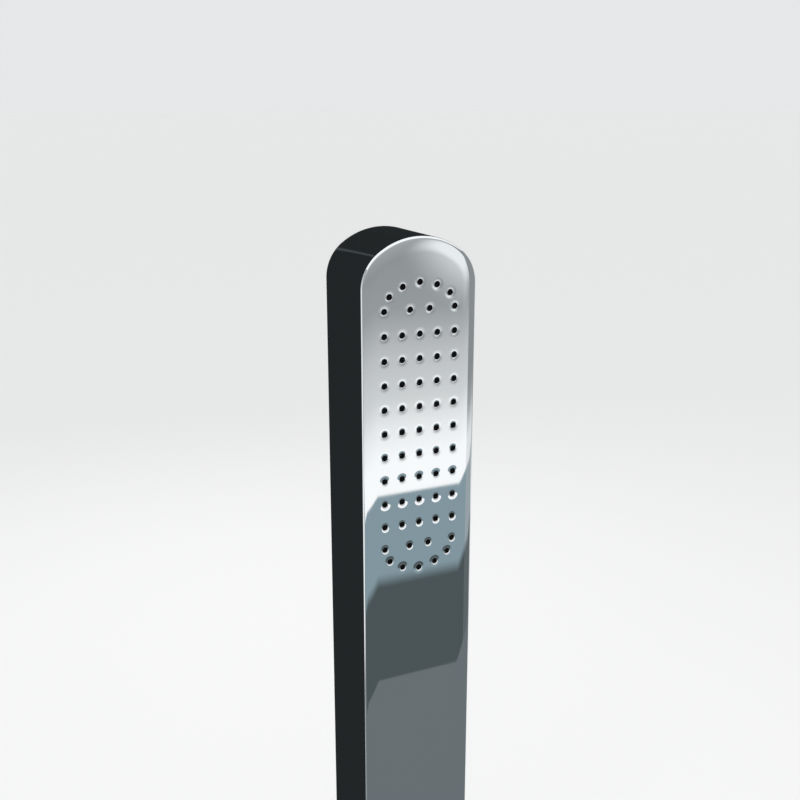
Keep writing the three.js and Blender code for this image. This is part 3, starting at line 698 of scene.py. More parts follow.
    @staticmethod
    def box(name: str, low: Point, high: Point, edge: float = 0.0) -> bpy.types.Object:
        """Model a block between two corners, with its edges bevelled.

        Args:
            name: Name of the block.
            low: Its lowest corner.
            high: Its highest corner.
            edge: Width of the bevel on its edges, or 0 for none.

        Returns:
            The block.
        """
        Bench.drop()
        middle = (Vector(low) + Vector(high)) / 2
        size = Vector(high) - Vector(low)
        bpy.ops.mesh.primitive_cube_add(size=1.0, location=middle, scale=size)
        piece = Bench.adopt(name)
        if edge:
            Bench.bevel(piece, edge)
        return Bench.smooth(piece)

    @staticmethod
    def combine(
        base: bpy.types.Object,
        others: Iterable[bpy.types.Object],
        how: str = "UNION",
    ) -> bpy.types.Object:
        """Unite pieces with a base, or cut them out of it; the others are used up.

        Args:
            base: Piece that stays.
            others: Pieces to add or cutting tools.
            how: UNION, DIFFERENCE or INTERSECT.

        Returns:
            The base.
        """
        for other in others:
            Bench.apply(base, "BOOLEAN", object=other, operation=how, solver="EXACT")
            bpy.data.objects.remove(other)
        return Bench.smooth(base)

    @staticmethod
    def merge(base: bpy.types.Object, *others: bpy.types.Object) -> bpy.types.Object:
        """Unite pieces with a base."""
        return Bench.combine(base, others, "UNION")

    @staticmethod
    def cut(base: bpy.types.Object, *tools: bpy.types.Object) -> bpy.types.Object:
        """Cut tools out of a base."""
        return Bench.combine(base, tools, "DIFFERENCE")

    @staticmethod
    def round_about(piece: bpy.types.Object, count: int, centre: Point, axis: str) -> bpy.types.Object:
        """Repeat a small tool evenly round an axis, all in one object.

        Args:
            piece: The tool, at its first place.
            count: How many there are altogether.
            centre: A point on the axis.
            axis: X, Y or Z.

        Returns:
            The joined tools.
        """
        tools = [piece]
        for number in range(1, count):
            Bench.pick(piece)
            bpy.ops.object.duplicate(linked=False)
            turn = 2 * math.pi * number / count
            bpy.ops.transform.rotate(value=turn, orient_axis=axis, center_override=centre)
            tools.append(Bench.adopt("tool"))
        return Bench.join(tools, "tools")

    @staticmethod
    def nut(
        name: str,
        across: float,
        bore: float,
        at: Point,
        height: float,
        axis: Point = (0.0, 0.0, 1.0),
    ) -> bpy.types.Object:
        """Model a hexagonal nut with chamfered corners.

        Args:
            name: Name of the nut.
            across: Distance over its flats.
            bore: Radius of its bore.
            at: Middle of its lower face.
            height: Its height along the axis.
            axis: Direction of its bore.

        Returns:
            The nut.
        """
        flat, corner = across / 2, across / math.sqrt(3.0)
        chamfer = min((corner - flat) * 0.8, 0.45 * height)
        section = [
            (bore, 0.0), (flat, 0.0), (corner, chamfer), (corner, height - chamfer), (flat, height),
            (bore, height), (bore, 0.0),
        ]
        nut = Bench.turned(name, section, at, axis, 48)
        along = Vector(axis).normalized()
        start = along.orthogonal()
        sixth = math.pi / 3
        flat_turn = 0.0 if abs(axis[2]) > 0.5 else sixth / 2
        for vertex in nut.data.vertices:
            arm = vertex.co - Vector(at)
            place = arm.dot(along)
            arm -= along * place
            if arm.length < flat + 0.01 * MM:
                continue
            from_flat = (start.angle(arm) - flat_turn + sixth / 2) % sixth - sixth / 2
            reach = flat / math.cos(from_flat)
            drop = chamfer * (reach - flat) / (corner - flat)
            level = drop if place < height / 2 else height - drop
            vertex.co = Vector(at) + arm.normalized() * reach + along * level
        Bench.pick(nut)
        Bench.clean()
        return Bench.smooth(nut)

    @staticmethod
    def tube(name: str, route: Sequence[Point], radius: float, sides: int = 16) -> bpy.types.Object:
        """Model a round hose or pipe along a route.

        Args:
            name: Name of the piece.
            route: Points of its centre line.
            radius: Its outer radius.
            sides: Faces round it.

        Returns:
            The piece, with a UV map that has its turns across and its length in circumferences.
        """
        Bench.chain(route)
        Bench.object_mode()
        bpy.ops.object.convert(target="CURVE")
        curve = bpy.context.object
        curve.data.bevel_depth = radius
        curve.data.bevel_resolution = sides // 2 - 2
        curve.data.use_fill_caps = True
        bpy.ops.object.convert(target="MESH")
        piece = Bench.adopt(name)
        Bench.wrap(piece, route, radius)
        return Bench.smooth(piece, 50.0)

    @staticmethod
    def wrap(piece: bpy.types.Object, route: Sequence[Point], radius: float) -> None:
        """Lay a UV map on a hose: once round across it, and circumferences along it.

        Args:
            piece: The hose's mesh.
            route: Points of its centre line.
            radius: Its radius.
        """
        points = [Vector(point) for point in route]
        lengths = [0.0]
        for here, there in zip(points, points[1:]):
            lengths.append(lengths[-1] + (there - here).length)
        across = Vector((0.0, 1.0, 0.0))
        spots = []
        for vertex in piece.data.vertices:
            near = min(range(len(points)), key=lambda i: (points[i] - vertex.co).length_squared)
            ahead = (points[min(near + 1, len(points) - 1)] - points[max(near - 1, 0)]).normalized()
            away = vertex.co - points[near]
            side = ahead.cross(across).normalized()
            angle = math.atan2(away.dot(across), away.dot(side)) / (2 * math.pi) + 0.5
            spots.append((angle, (lengths[near] + away.dot(ahead)) / (2 * math.pi * radius)))
        layer = piece.data.uv_layers.new(name="UVMap")
        for face in piece.data.polygons:
            turns = [spots[index][0] for index in face.vertices]
            over = max(turns) - min(turns) > 0.5
            for loop, index in zip(face.loop_indices, face.vertices):
                turn, along = spots[index]
                layer.data[loop].uv = (turn + 1.0 if over and turn < 0.5 else turn, along)


# ---------------------------------------------------------------- sub-assemblies


class SubAssembly:
    """What every sub-assembly shares: its paintshop and the list of its finished pieces."""

    def __init__(self, paint: Paintshop) -> None:
        """Keep the paintshop."""
        self.paint = paint
        self.pieces: list[bpy.types.Object] = []

    def finish(self, piece: bpy.types.Object, look: Finish, body: str, *nodes: str) -> bpy.types.Object:
        """Dress a piece, let it ride on a body and let it stand for CAD nodes.

        Args:
            piece: Finished mesh.
            look: Its finish.
            body: Body that it moves with.
            nodes: CAD nodes that it stands for.

        Returns:
            The piece.
        """
        self.paint.dress(piece, look)
        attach(piece, body)
        if nodes:
            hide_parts(*nodes)
        self.pieces.append(piece)
        return piece

    def keep(self, node: str, look: Finish) -> None:
        """Keep a CAD node whose shape is right and give it its finish."""
        self.paint.dress(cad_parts[node], look)
        self.pieces.append(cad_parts[node])


@dataclass
class Casing(SubAssembly):
    """Mirror-polished casing: a rolled rim swept over the arch, a flat face and its dished spray holes."""

    paint: Paintshop
    sheet: float = 1.5 * MM
    shoulder: float = 35 * MM
    crown: float = 60 * MM
    roll: float = 10.4 * MM
    roll_angle: float = math.radians(5.0)
    bend: float = 2 * MM
    flat_strip: float = 0.3 * MM
    dish: float = 5.8 * MM
    dish_sides: int = 24
    jet_opening: float = 21 * MM
    valve_opening: float = 16 * MM
    jet_heights: tuple[float, ...] = (0.64, 0.52, 0.40)
    valve_heights: tuple[float, ...] = (0.26, 0.09)
    dish_rings: tuple[tuple[float, float], ...] = (
        (5.65, 0.0),
        (5.3, 0.003),
        (4.8, 0.013),
        (4.2, 0.030),
        (3.7, 0.052),
        (3.3, 0.078),
        (3.0, 0.109),
        (2.75, 0.150),
        (2.6, 0.2),
        (2.5, 0.275),
        (2.46, 0.38),
        (2.45, 0.78),
    )

    def __post_init__(self) -> None:
        """Take the casing's box from the frame."""
        super().__init__(self.paint)
        low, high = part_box("casing")
        self.half = high.x
        self.face = low.y
        self.rear = high.y
        self.bottom = low.z
        self.top = high.z
        self.shoulder_x = self.half - self.shoulder
        drop = math.sqrt((self.crown - self.shoulder) ** 2 - self.shoulder_x**2)
        self.turn = math.atan2(drop, self.shoulder_x)
        self.crown_z = self.top - self.crown
        self.spring = self.crown_z + drop

    def section(self) -> list[Point]:
        """Section of the right-hand rim at the lower edge.

        Returns:
            Points from the flat face round the rolled edge to the rear.
        """
        reach = self.roll / math.sin(self.roll_angle)
        start = self.half - self.roll - self.bend * (1 - math.sin(self.roll_angle))
        points = [(start - self.flat_strip, self.face)]
        for step in range(9):
            angle = self.roll_angle * step / 8
            points.append((start + reach * math.sin(angle), self.face + reach * (1 - math.cos(angle))))
        x, y = points[-1]
        middle_x = self.half - self.bend
        middle_y = y + self.bend * math.cos(self.roll_angle)
        for step in range(1, 9):
            angle = self.roll_angle + (math.pi / 2 - self.roll_angle) * step / 8
            points.append((middle_x + self.bend * math.sin(angle), middle_y - self.bend * math.cos(angle)))
        points.append((self.half, self.rear))
        return [(px, py, self.bottom) for px, py in points]

    def rim(self) -> bpy.types.Object:
        """Sweep the rim's section up, over the arch and down the other side.

        Returns:
            The rim.
        """
        Bench.chain(self.section())
        rise = self.spring - self.bottom
        bpy.ops.mesh.extrude_region_move(TRANSFORM_OT_translate={"value": (0.0, 0.0, rise)})
        over = (0.0, 1.0, 0.0)
        arcs = (
            (self.turn, 16, (self.shoulder_x, 0.0, self.spring)),
            (math.pi - 2 * self.turn, 28, (0.0, 0.0, self.crown_z)),
            (self.turn, 16, (-self.shoulder_x, 0.0, self.spring)),
        )
        for angle, steps, centre in arcs:
            bpy.ops.mesh.spin(steps=steps, angle=angle, center=centre, axis=over)
        bpy.ops.mesh.extrude_region_move(TRANSFORM_OT_translate={"value": (0.0, 0.0, -rise)})
        return Bench.adopt("casing_rim")

    def ring(self, name: str, radius: float, height: float, sides: int = 64) -> bpy.types.Object:
        """Edge of a plain opening in the face: a narrow flat ring.

        Args:
            name: Name of the ring.
            radius: Radius of the opening.
            height: Height of its middle.
            sides: Sides of the ring.

        Returns:
            The ring.
        """
        Bench.drop()
        at = (0.0, self.face, height)
        bpy.ops.mesh.primitive_circle_add(
            vertices=sides, radius=radius, location=at, rotation=(math.pi / 2, 0.0, 0.0)
        )
        Bench.edit()
        bpy.ops.mesh.select_all(action="SELECT")
        bpy.ops.mesh.extrude_region_move()
        wider = (radius + self.flat_strip) / radius
        bpy.ops.transform.resize(value=(wider, 1.0, wider), center_override=at)
        return Bench.adopt(name)

    def spray_dish(self, x: float, z: float) -> bpy.types.Object:
        """Dish pressed into the face round one spray hole, modelled ring by ring.

        Args:
            x: Place of the hole across the face.
            z: Height of the hole.

        Returns:
            The dish.
        """
        Bench.drop()
        at = (x, self.face, z)
        bpy.ops.mesh.primitive_circle_add(
            vertices=self.dish_sides, radius=self.dish, location=at, rotation=(math.pi / 2, 0.0, 0.0)
        )
        Bench.edit()
        bpy.ops.mesh.select_all(action="SELECT")
        radius, depth = self.dish, 0.0
        for next_radius, next_depth in self.dish_rings:
            smaller = next_radius * MM / radius
            bpy.ops.mesh.extrude_region_move(
                TRANSFORM_OT_translate={"value": (0.0, next_depth * MM - depth, 0.0)}
            )
            bpy.ops.transform.resize(value=(smaller, 1.0, smaller), center_override=at)
            radius, depth = next_radius * MM, next_depth * MM
        return Bench.adopt("spray_dish")

    def close_face(self, piece: bpy.types.Object) -> None:
        """Fill the flat face between the rim, the dishes and the openings.

        Args:
            piece: All of them joined in one mesh.
        """
        hair = 0.001 * MM
        strip_end = self.section()[1][0] - hair
        Bench.choose(
            lambda co: co.z < self.bottom + hair and co.y < self.face + hair and abs(co.x) < strip_end
        )
        bpy.ops.mesh.edge_face_add()
        Bench.object_mode()
        mesh = piece.data
        used: dict[tuple[int, int], int] = {}
        for face in mesh.polygons:
            for key in face.edge_keys:
                used[key] = used.get(key, 0) + 1
        openings = [(height, self.jet_opening) for height in self.jet_heights]
        openings += [(height, self.valve_opening) for height in self.valve_heights]

        def borders_face(ends: Sequence[Vector]) -> bool:
            """Whether an open edge bounds the part of the face that is still to fill.

            Args:
                ends: The two ends of the edge.

            Returns:
                Whether it does.
            """
            if any(abs(co.y - self.face) > hair for co in ends):
                return False
            if all(co.z < self.bottom + hair for co in ends) and max(abs(co.x) for co in ends) > strip_end:
                return False
            middle = (ends[0] + ends[1]) / 2
            return all(math.hypot(middle.x, middle.z - height) > radius + hair for height, radius in openings)

        edges = [edge.key for edge in mesh.edges if used.get(edge.key, 0) < 2]
        borders = {key for key in edges if borders_face([mesh.vertices[index].co for index in key])}
        Bench.edit("EDGE")
        bpy.ops.mesh.select_all(action="DESELECT")
        Bench.object_mode()
        for edge in piece.data.edges:
            edge.select = edge.key in borders
        Bench.edit("EDGE")
        bpy.ops.mesh.fill(use_beauty=True)
        Bench.object_mode()

    def build(self, places: Sequence[tuple[float, float]]) -> "Casing":
        """Model and dress the casing.

        Args:
            places: Every spray hole's x and height.

        Returns:
            The finished sub-assembly.
        """
        parts = [self.rim()]
        parts += [self.ring("jet_opening", self.jet_opening, height) for height in self.jet_heights]
        parts += [self.ring("valve_opening", self.valve_opening, height) for height in self.valve_heights]
        first = self.spray_dish(*places[0])
        parts.append(first)
        for x, z in places[1:]:
            parts.append(Bench.copy(first, "spray_dish", (x - places[0][0], 0.0, z - places[0][1])))
        piece = Bench.join(parts, "column_casing")
        self.close_face(piece)
        Bench.pick(piece)
        Bench.clean(0.004 * MM)
        front = max(
            (f for f in piece.data.polygons if f.center.y < self.face + 0.001 * MM), key=lambda f: f.area
        )
        if front.normal.y > 0:
            Bench.edit("FACE")
            bpy.ops.mesh.select_all(action="SELECT")
            bpy.ops.mesh.flip_normals()
            Bench.object_mode()
        Bench.apply(piece, "SOLIDIFY", thickness=self.sheet, offset=-1.0, use_even_offset=True)
        Bench.smooth(piece, 40.0)
        self.finish(piece, Finish.MIRROR_STEEL, "column", "casing")
        return self


@dataclass
class SprayField:
    """Layout of the spray holes: full rows, a short row beyond each end and an arc beyond that."""

    middle: float
    half_width: float = 31 * MM
    columns: int = 5
    rows: int = 9
    row_pitch: float = 20 * MM
    pair_x: float = 8.6 * MM
    arc_rise: float = 1.4 * MM
    arc_radius: float = 40 * MM
    arc_angles: tuple[float, ...] = (-41.7, -22.0, 0.0, 22.0, 41.7)

    @property
    def half_height(self) -> float:
        """From the middle to the outermost full row."""
        return (self.rows - 1) * self.row_pitch / 2

    def places(self) -> list[tuple[float, float]]:
        """Every hole's x and height.

        Returns:
            Places as (x, z).
        """
        pitch = 2 * self.half_width / (self.columns - 1)
        found = []
        for row in range(self.rows):
            for column in range(self.columns):
                found.append((column * pitch - self.half_width, self.half_height - row * self.row_pitch))
        for end in (1, -1):
            for x in (-self.half_width, -self.pair_x, self.pair_x, self.half_width):
                found.append((x, end * (self.half_height + self.row_pitch)))
            for angle in map(math.radians, self.arc_angles):
                height = self.half_height + self.arc_rise + self.arc_radius * math.cos(angle)
                found.append((self.arc_radius * math.sin(angle), end * height))
        return [(x, self.middle + z) for x, z in found]

    def outline(self, half: float, margin: float, depth: float, steps: int = 20) -> list[Point]:
        """Straight sides and two flat arcs round the field.

        Args:
            half: Half its width.
            margin: How far it goes beyond the arcs of holes.
            depth: Its place in y.
            steps: Parts of each arc.

        Returns:
            Corners in order.
        """
        radius = self.arc_radius + margin
        centre = self.half_height + self.arc_rise
        reach = math.acos(min(half / radius, 1.0))
        corners = []
        for end in (1, -1):
            for step in range(steps + 1):
                angle = reach + (math.pi - 2 * reach) * step / steps
                x = radius * math.cos(angle) * end
                corners.append((x, depth, self.middle + end * (centre + radius * math.sin(angle))))
        return corners


UP = (0.0, 0.0, 1.0)
BACK = (0.0, 1.0, 0.0)


def mm(*values: float) -> tuple[float, ...]:
    """Millimetres to metres."""
    return tuple(value * MM for value in values)


def profile_mm(*corners: tuple[float, float]) -> list[tuple[float, float]]:
    """A half section given in millimetres."""
    return [(radius * MM, place * MM) for radius, place in corners]


def arc(radius: float, start: float, end: float, middle: float, steps: int) -> list[tuple[float, float]]:
    """Part of a ball's half section in millimetres.

    Args:
        radius: Radius of the ball.
        start: Place along the axis where the arc begins.
        end: Place where it ends.
        middle: Place of the ball's centre.
        steps: Parts of the arc.

    Returns:
        Corners as (radius, place).
    """
    first = math.asin((start - middle) / radius)
    last = math.asin((end - middle) / radius)
    angles = [first + (last - first) * step / steps for step in range(steps + 1)]
    return [(radius * math.cos(angle), middle + radius * math.sin(angle)) for angle in angles]


def thread(radius: float, start: float, end: float, pitch: float, depth: float) -> list[tuple[float, float]]:
    """Ridges of a screw thread as a half section in millimetres.

    Args:
        radius: Radius over the ridges.
        start: Where the thread starts along the axis.
        end: Where it ends.
        pitch: Distance from ridge to ridge.
        depth: Height of a ridge.

    Returns:
        Corners as (radius, place along the axis).
    """
    count = round(abs(end - start) / pitch)
    step = (end - start) / count
    corners = []
    for ridge in range(count):
        corners.append((radius - depth, start + step * ridge))
        corners.append((radius, start + step * (ridge + 0.5)))
    corners.append((radius - depth, end))
    return corners


@dataclass
class RainHead(SubAssembly):
    """Silicone nozzle mat, its water chamber, studs, nuts and inlet elbow."""

    paint: Paintshop
    layout: SprayField
    mat: tuple[float, float] = (-73.2, -71.2)
    flange: tuple[float, float] = (-70.9, -67.9)
    back: float = -56.4
    boss_back: float = -46.4
    boss_z: float = 0.9994
    boss_radius: float = 13.0
    stud_x: float = 42.5
    stud_rise: float = 90.0
    rib_places: tuple[float, ...] = (-75.0, -45.0, -15.0, 15.0, 45.0, 75.0)

    def __post_init__(self) -> None:
        """Keep the paintshop."""
        super().__init__(self.paint)

    def nozzle_mat(self) -> bpy.types.Object:
        """Silicone mat with a hollow tip in every spray hole.

        Returns:
            The mat.
        """
        outline = self.layout.outline(46 * MM, 8 * MM, self.mat[1] * MM)
        thickness = (self.mat[0] - self.mat[1]) * MM
        sheet = Bench.plate("nozzle_sheet", outline, (0.0, thickness, 0.0), 0.4 * MM)
        places = self.layout.places()
        x, z = places[0]
        section = profile_mm(
            (0.0, -73.3), (0.6, -73.3), (0.75, -73.95), (0.95, -74.1), (1.5, -74.1), (1.75, -73.85),
            (1.75, -72.4), (0.0, -72.4)
        )
        tip = Bench.turned("nozzle_tip", section, (x, 0.0, z), BACK, 12)
        tips = [tip]
        tips += [Bench.copy(tip, "nozzle_tip", (px - x, 0.0, pz - z)) for px, pz in places[1:]]
        return Bench.join([sheet, *tips], "silicone_nozzle_mat")

    def chamber(self) -> bpy.types.Object:
        """Ribbed water chamber with its flange and inlet boss.

        Returns:
            The chamber.
        """
        flange = self.layout.outline(46 * MM, 8 * MM, self.flange[1] * MM)
        base = Bench.plate(
            "water_chamber", flange, (0.0, (self.flange[0] - self.flange[1]) * MM, 0.0), 0.5 * MM
        )
        wall = self.layout.outline(39 * MM, 8 * MM, self.back * MM)
        vessel = Bench.plate("vessel", wall, (0.0, (self.flange[0] + 1 - self.back) * MM, 0.0), 1.6 * MM)
        Bench.merge(base, vessel)
        for place in self.rib_places:
            z = self.layout.middle + place * MM
            if abs(z - self.boss_z) > 0.016:
                low = (-35 * MM, (self.back - 1) * MM, z - 1 * MM)
                rib = Bench.box("rib", low, (35 * MM, (self.back + 2.4) * MM, z + 1 * MM), 0.4 * MM)
                Bench.merge(base, rib)
        spine = Bench.box(
            "spine", (
                -1 * MM, (self.back - 1) * MM, self.boss_z
            ), (1 * MM, (self.back + 2.4) * MM, 1.19), 0.4 * MM
        )
        Bench.merge(base, spine)
        boss = profile_mm(
            (0.0, self.back - 2), (16.0, self.back - 2), (16.0, self.back + 1.0),
            (14.0, self.back + 2.2), (self.boss_radius, self.back + 4),
            (self.boss_radius, self.boss_back - 0.8), (self.boss_radius - 0.8, self.boss_back),
            (0.0, self.boss_back),
        )
        Bench.merge(base, Bench.turned("boss", boss, (0.0, 0.0, self.boss_z), BACK, 40))
        bore = profile_mm((0.0, -60.0), (6.5, -60.0), (6.5, -40.0), (0.0, -40.0))
        Bench.cut(base, Bench.turned("bore", bore, (0.0, 0.0, self.boss_z), BACK, 32))
        return base

    def fixings(self) -> None:
        """Four studs with their nuts."""
        for level, rise in (("upper", self.stud_rise), ("lower", -self.stud_rise)):
            for side, x in (("left", -self.stud_x), ("right", self.stud_x)):
                at = (x * MM, 0.0, self.layout.middle + rise * MM)
                ridges = thread(2.0, -67.0, -62.4, 0.7, 0.25)
                section = profile_mm(
                    (0.0, -73.2), (2.0, -73.2), (2.0, -67.2), *ridges, (1.5, -61.9), (0.0, -61.9)
                )
                stud = Bench.turned(f"stud_{level}_{side}", section, at, BACK, 24)
                self.finish(stud, Finish.SATIN_STEEL, "column", f"chamber_stud_{level}_{side}")
                nut = Bench.nut(
                    f"nut_{level}_{side}", 6.2 * MM, 2.1 * MM, (at[0], -67.6 * MM, at[2]), 3.2 * MM, BACK
                )
                self.finish(nut, Finish.SATIN_STEEL, "column", f"chamber_nut_{level}_{side}")

    def elbow(self) -> bpy.types.Object:
        """Brass elbow from the boss down to the rain hose.

        Returns:
            The elbow.
        """
        z = self.boss_z
        bend = 9 * MM
        rear = -18 * MM
        route = [(0.0, -40.5 * MM, z), (0.0, rear - bend, z)]
        for step in range(1, 9):
            angle = math.pi / 2 * step / 8
            route.append((0.0, rear - bend + bend * math.sin(angle), z - bend + bend * math.cos(angle)))
        route.append((0.0, rear, 0.9774))
        body = Bench.tube("rain_elbow", route, 7.4 * MM, 32)
        Bench.clean()
        flange = profile_mm(
            (0.0, -56.1), (6.0, -56.1), (6.0, -46.1), (10.2, -46.1), (11.0, -45.3), (11.0, -41.0),
            (10.2, -40.1), (0.0, -40.1)
        )
        Bench.merge(body, Bench.turned("flange", flange, (0.0, 0.0, z), BACK, 40))
        collar = profile_mm((0.0, 0.0), (7.4, 0.0), (8.0, 0.6), (8.0, 7.4), (7.4, 8.0), (0.0, 8.0))
        return Bench.merge(body, Bench.turned("collar", collar, (0.0, rear, 0.9774), UP, 40))

    def build(self) -> "RainHead":
        """Model and dress the rain head.

        Returns:
            This sub-assembly.
        """
        self.finish(self.nozzle_mat(), Finish.BLACK_SILICONE, "column", "nozzle_mat")
        self.finish(self.chamber(), Finish.DARK_PLASTIC, "column", "rain_chamber")
        self.fixings()
        self.finish(self.elbow(), Finish.BRASS, "column", "rain_inlet_elbow")
        return self


@dataclass
class BodyJets(SubAssembly):
    """Three swivelling body jets and the manifold behind them."""

    paint: Paintshop
    heights: tuple[float, ...] = (0.64, 0.52, 0.40)
    ball_y: float = -69.0
    ball: float = 17.0
    nub_rings: tuple[tuple[int, float], ...] = ((1, 0.0), (6, 4.0), (12, 8.0))

    def __post_init__(self) -> None:
        """Keep the paintshop."""
        super().__init__(self.paint)

    def housing(self, height: float) -> bpy.types.Object:
        """Bezel, cup and nipple in one turned piece.

        Args:
            height: Height of the jet.

        Returns:
            The housing.
        """
        socket = arc(17.5, -78.2, -63.0, self.ball_y, 14)
        section = profile_mm(
            (socket[0][0] + 0.25, -78.5), *socket, (16.4, -47.0), (4.0, -47.0), (4.0, -35.0),
            *[(radius, -place) for radius, place in thread(6.0, 35.6, 46.4, 1.35, 0.35)],
            (6.0, -47.0), (19.6, -47.0), (20.5, -47.9),
            *[(radius, -place) for radius, place in thread(20.5, 49.0, 74.0, 1.55, 0.4)],
            (20.5, -75.3), (26.0, -75.3), (26.5, -75.6), (26.5, -76.2), (26.0, -76.8), (24.6, -77.75),
            (23.0, -78.3), (21.6, -78.5), (socket[0][0] + 0.25, -78.5),
        )
        return Bench.turned("jet_bezel", section, (0.0, 0.0, height), BACK, 72)

    def nozzle(self, height: float) -> bpy.types.Object:
        """Hollow ball with a shallow recess for its spray face.

        Args:
            height: Height of the jet.

        Returns:
            The nozzle.
        """
        outside = arc(self.ball, -81.7, -57.0, self.ball_y, 26)
        section = profile_mm(
            (0.0, -80.9), (10.0, -80.9), (10.2, -81.7), (10.5, -82.0), (10.95, -82.0), *outside,
            (9.5, -57.0), (9.5, -76.5), (0.0, -76.5),
        )
        return Bench.turned("jet_ball", section, (0.0, 0.0, height), BACK, 72)

    def spray_face(self, height: float) -> bpy.types.Object:
        """Silicone disc with a ring of small spray nubs.

        Args:
            height: Height of the jet.

        Returns:
            The spray face.
        """
        plate = profile_mm((0.0, -81.4), (9.5, -81.4), (9.9, -81.1), (9.9, -80.7), (0.0, -80.7))
        face = Bench.turned("jet_spray_face", plate, (0.0, 0.0, height), BACK, 48)
        nub = profile_mm(
            (0.0, -81.65), (0.3, -81.65), (0.4, -82.0), (0.65, -82.0), (0.8, -81.85), (0.95, -81.3),
            (0.0, -81.3)
        )
        nubs = []
        for count, radius in self.nub_rings:
            for number in range(count):
                angle = 2 * math.pi * number / count
                at = (radius * MM * math.cos(angle), 0.0, height + radius * MM * math.sin(angle))
                nubs.append(Bench.turned("nub", nub, at, BACK, 12))
        return Bench.join([face, *nubs], "jet_spray_face")

    def manifold(self) -> bpy.types.Object:
        """Moulded upright pipe with a socket for each jet.

        Returns:
            The pipe.
        """
        trunk = profile_mm(
            (0.0, 370.0), (9.6, 370.0), (10.0, 370.4), (10.0, 377.0), (9.0, 378.0), (9.0, 652.0),
            (8.0, 654.0), (0.0, 654.0)
        )
        body = Bench.turned("jet_manifold_pipe", trunk, (0.0, -18 * MM, 0.0), UP, 36)
        for height in self.heights:
            arm = profile_mm((0.0, -44.0), (8.4, -44.0), (9.0, -43.4), (9.0, -18.0), (0.0, -18.0))
            Bench.merge(body, Bench.turned("arm", arm, (0.0, 0.0, height), BACK, 36))
            bore = profile_mm((0.0, -46.0), (6.5, -46.0), (6.5, -20.0), (0.0, -20.0))
            Bench.cut(body, Bench.turned("bore", bore, (0.0, 0.0, height), BACK, 28))
            web = Bench.box(
                "web", (-1.2 * MM, -30 * MM, height - 22 * MM), (1.2 * MM, -18 * MM, height - 5 * MM),
                0.4 * MM
            )
            Bench.merge(body, web)
        return body

    def build(self) -> "BodyJets":
        """Model and dress the jets.

        Returns:
            This sub-assembly.
        """
        makers = ((self.housing, "jet_bezel"), (self.nozzle, "jet_ball"), (self.spray_face, "jet_spray_face"))
        first = {name: make(self.heights[0]) for make, name in makers}
        nut = Bench.nut("jet_backnut", 49 * MM, 21 * MM, (0.0, -73.2 * MM, self.heights[0]), 6 * MM, BACK)
        for number, height in enumerate(self.heights, start=1):
            shift = (0.0, 0.0, height - self.heights[0])
            made = {}
            for name, piece in (*first.items(), ("jet_backnut", nut)):
                if number < 2:
                    piece.name = f"{name}_one"
                    made[name] = piece
                else:
                    made[name] = Bench.copy(piece, f"{name}_{('two', 'three')[number - 2]}", shift)
            self.finish(made["jet_bezel"], Finish.CHROME, "column", f"jet_housing_{number}")
            self.finish(made["jet_ball"], Finish.CHROME, f"jet_{number}", f"jet_nozzle_{number}")
            self.finish(
                made["jet_spray_face"], Finish.BLACK_SILICONE, f"jet_{number}", f"jet_nozzle_{number}"
            )
            self.finish(made["jet_backnut"], Finish.WHITE_PLASTIC, "column", f"jet_backnut_{number}")
        self.finish(self.manifold(), Finish.WHITE_PLASTIC, "column", "jet_manifold")
        return self


class Grip(Enum):
    """How a knob's rim is made for the hand."""

    FLUTED = "fluted"
    PLAIN = "plain"


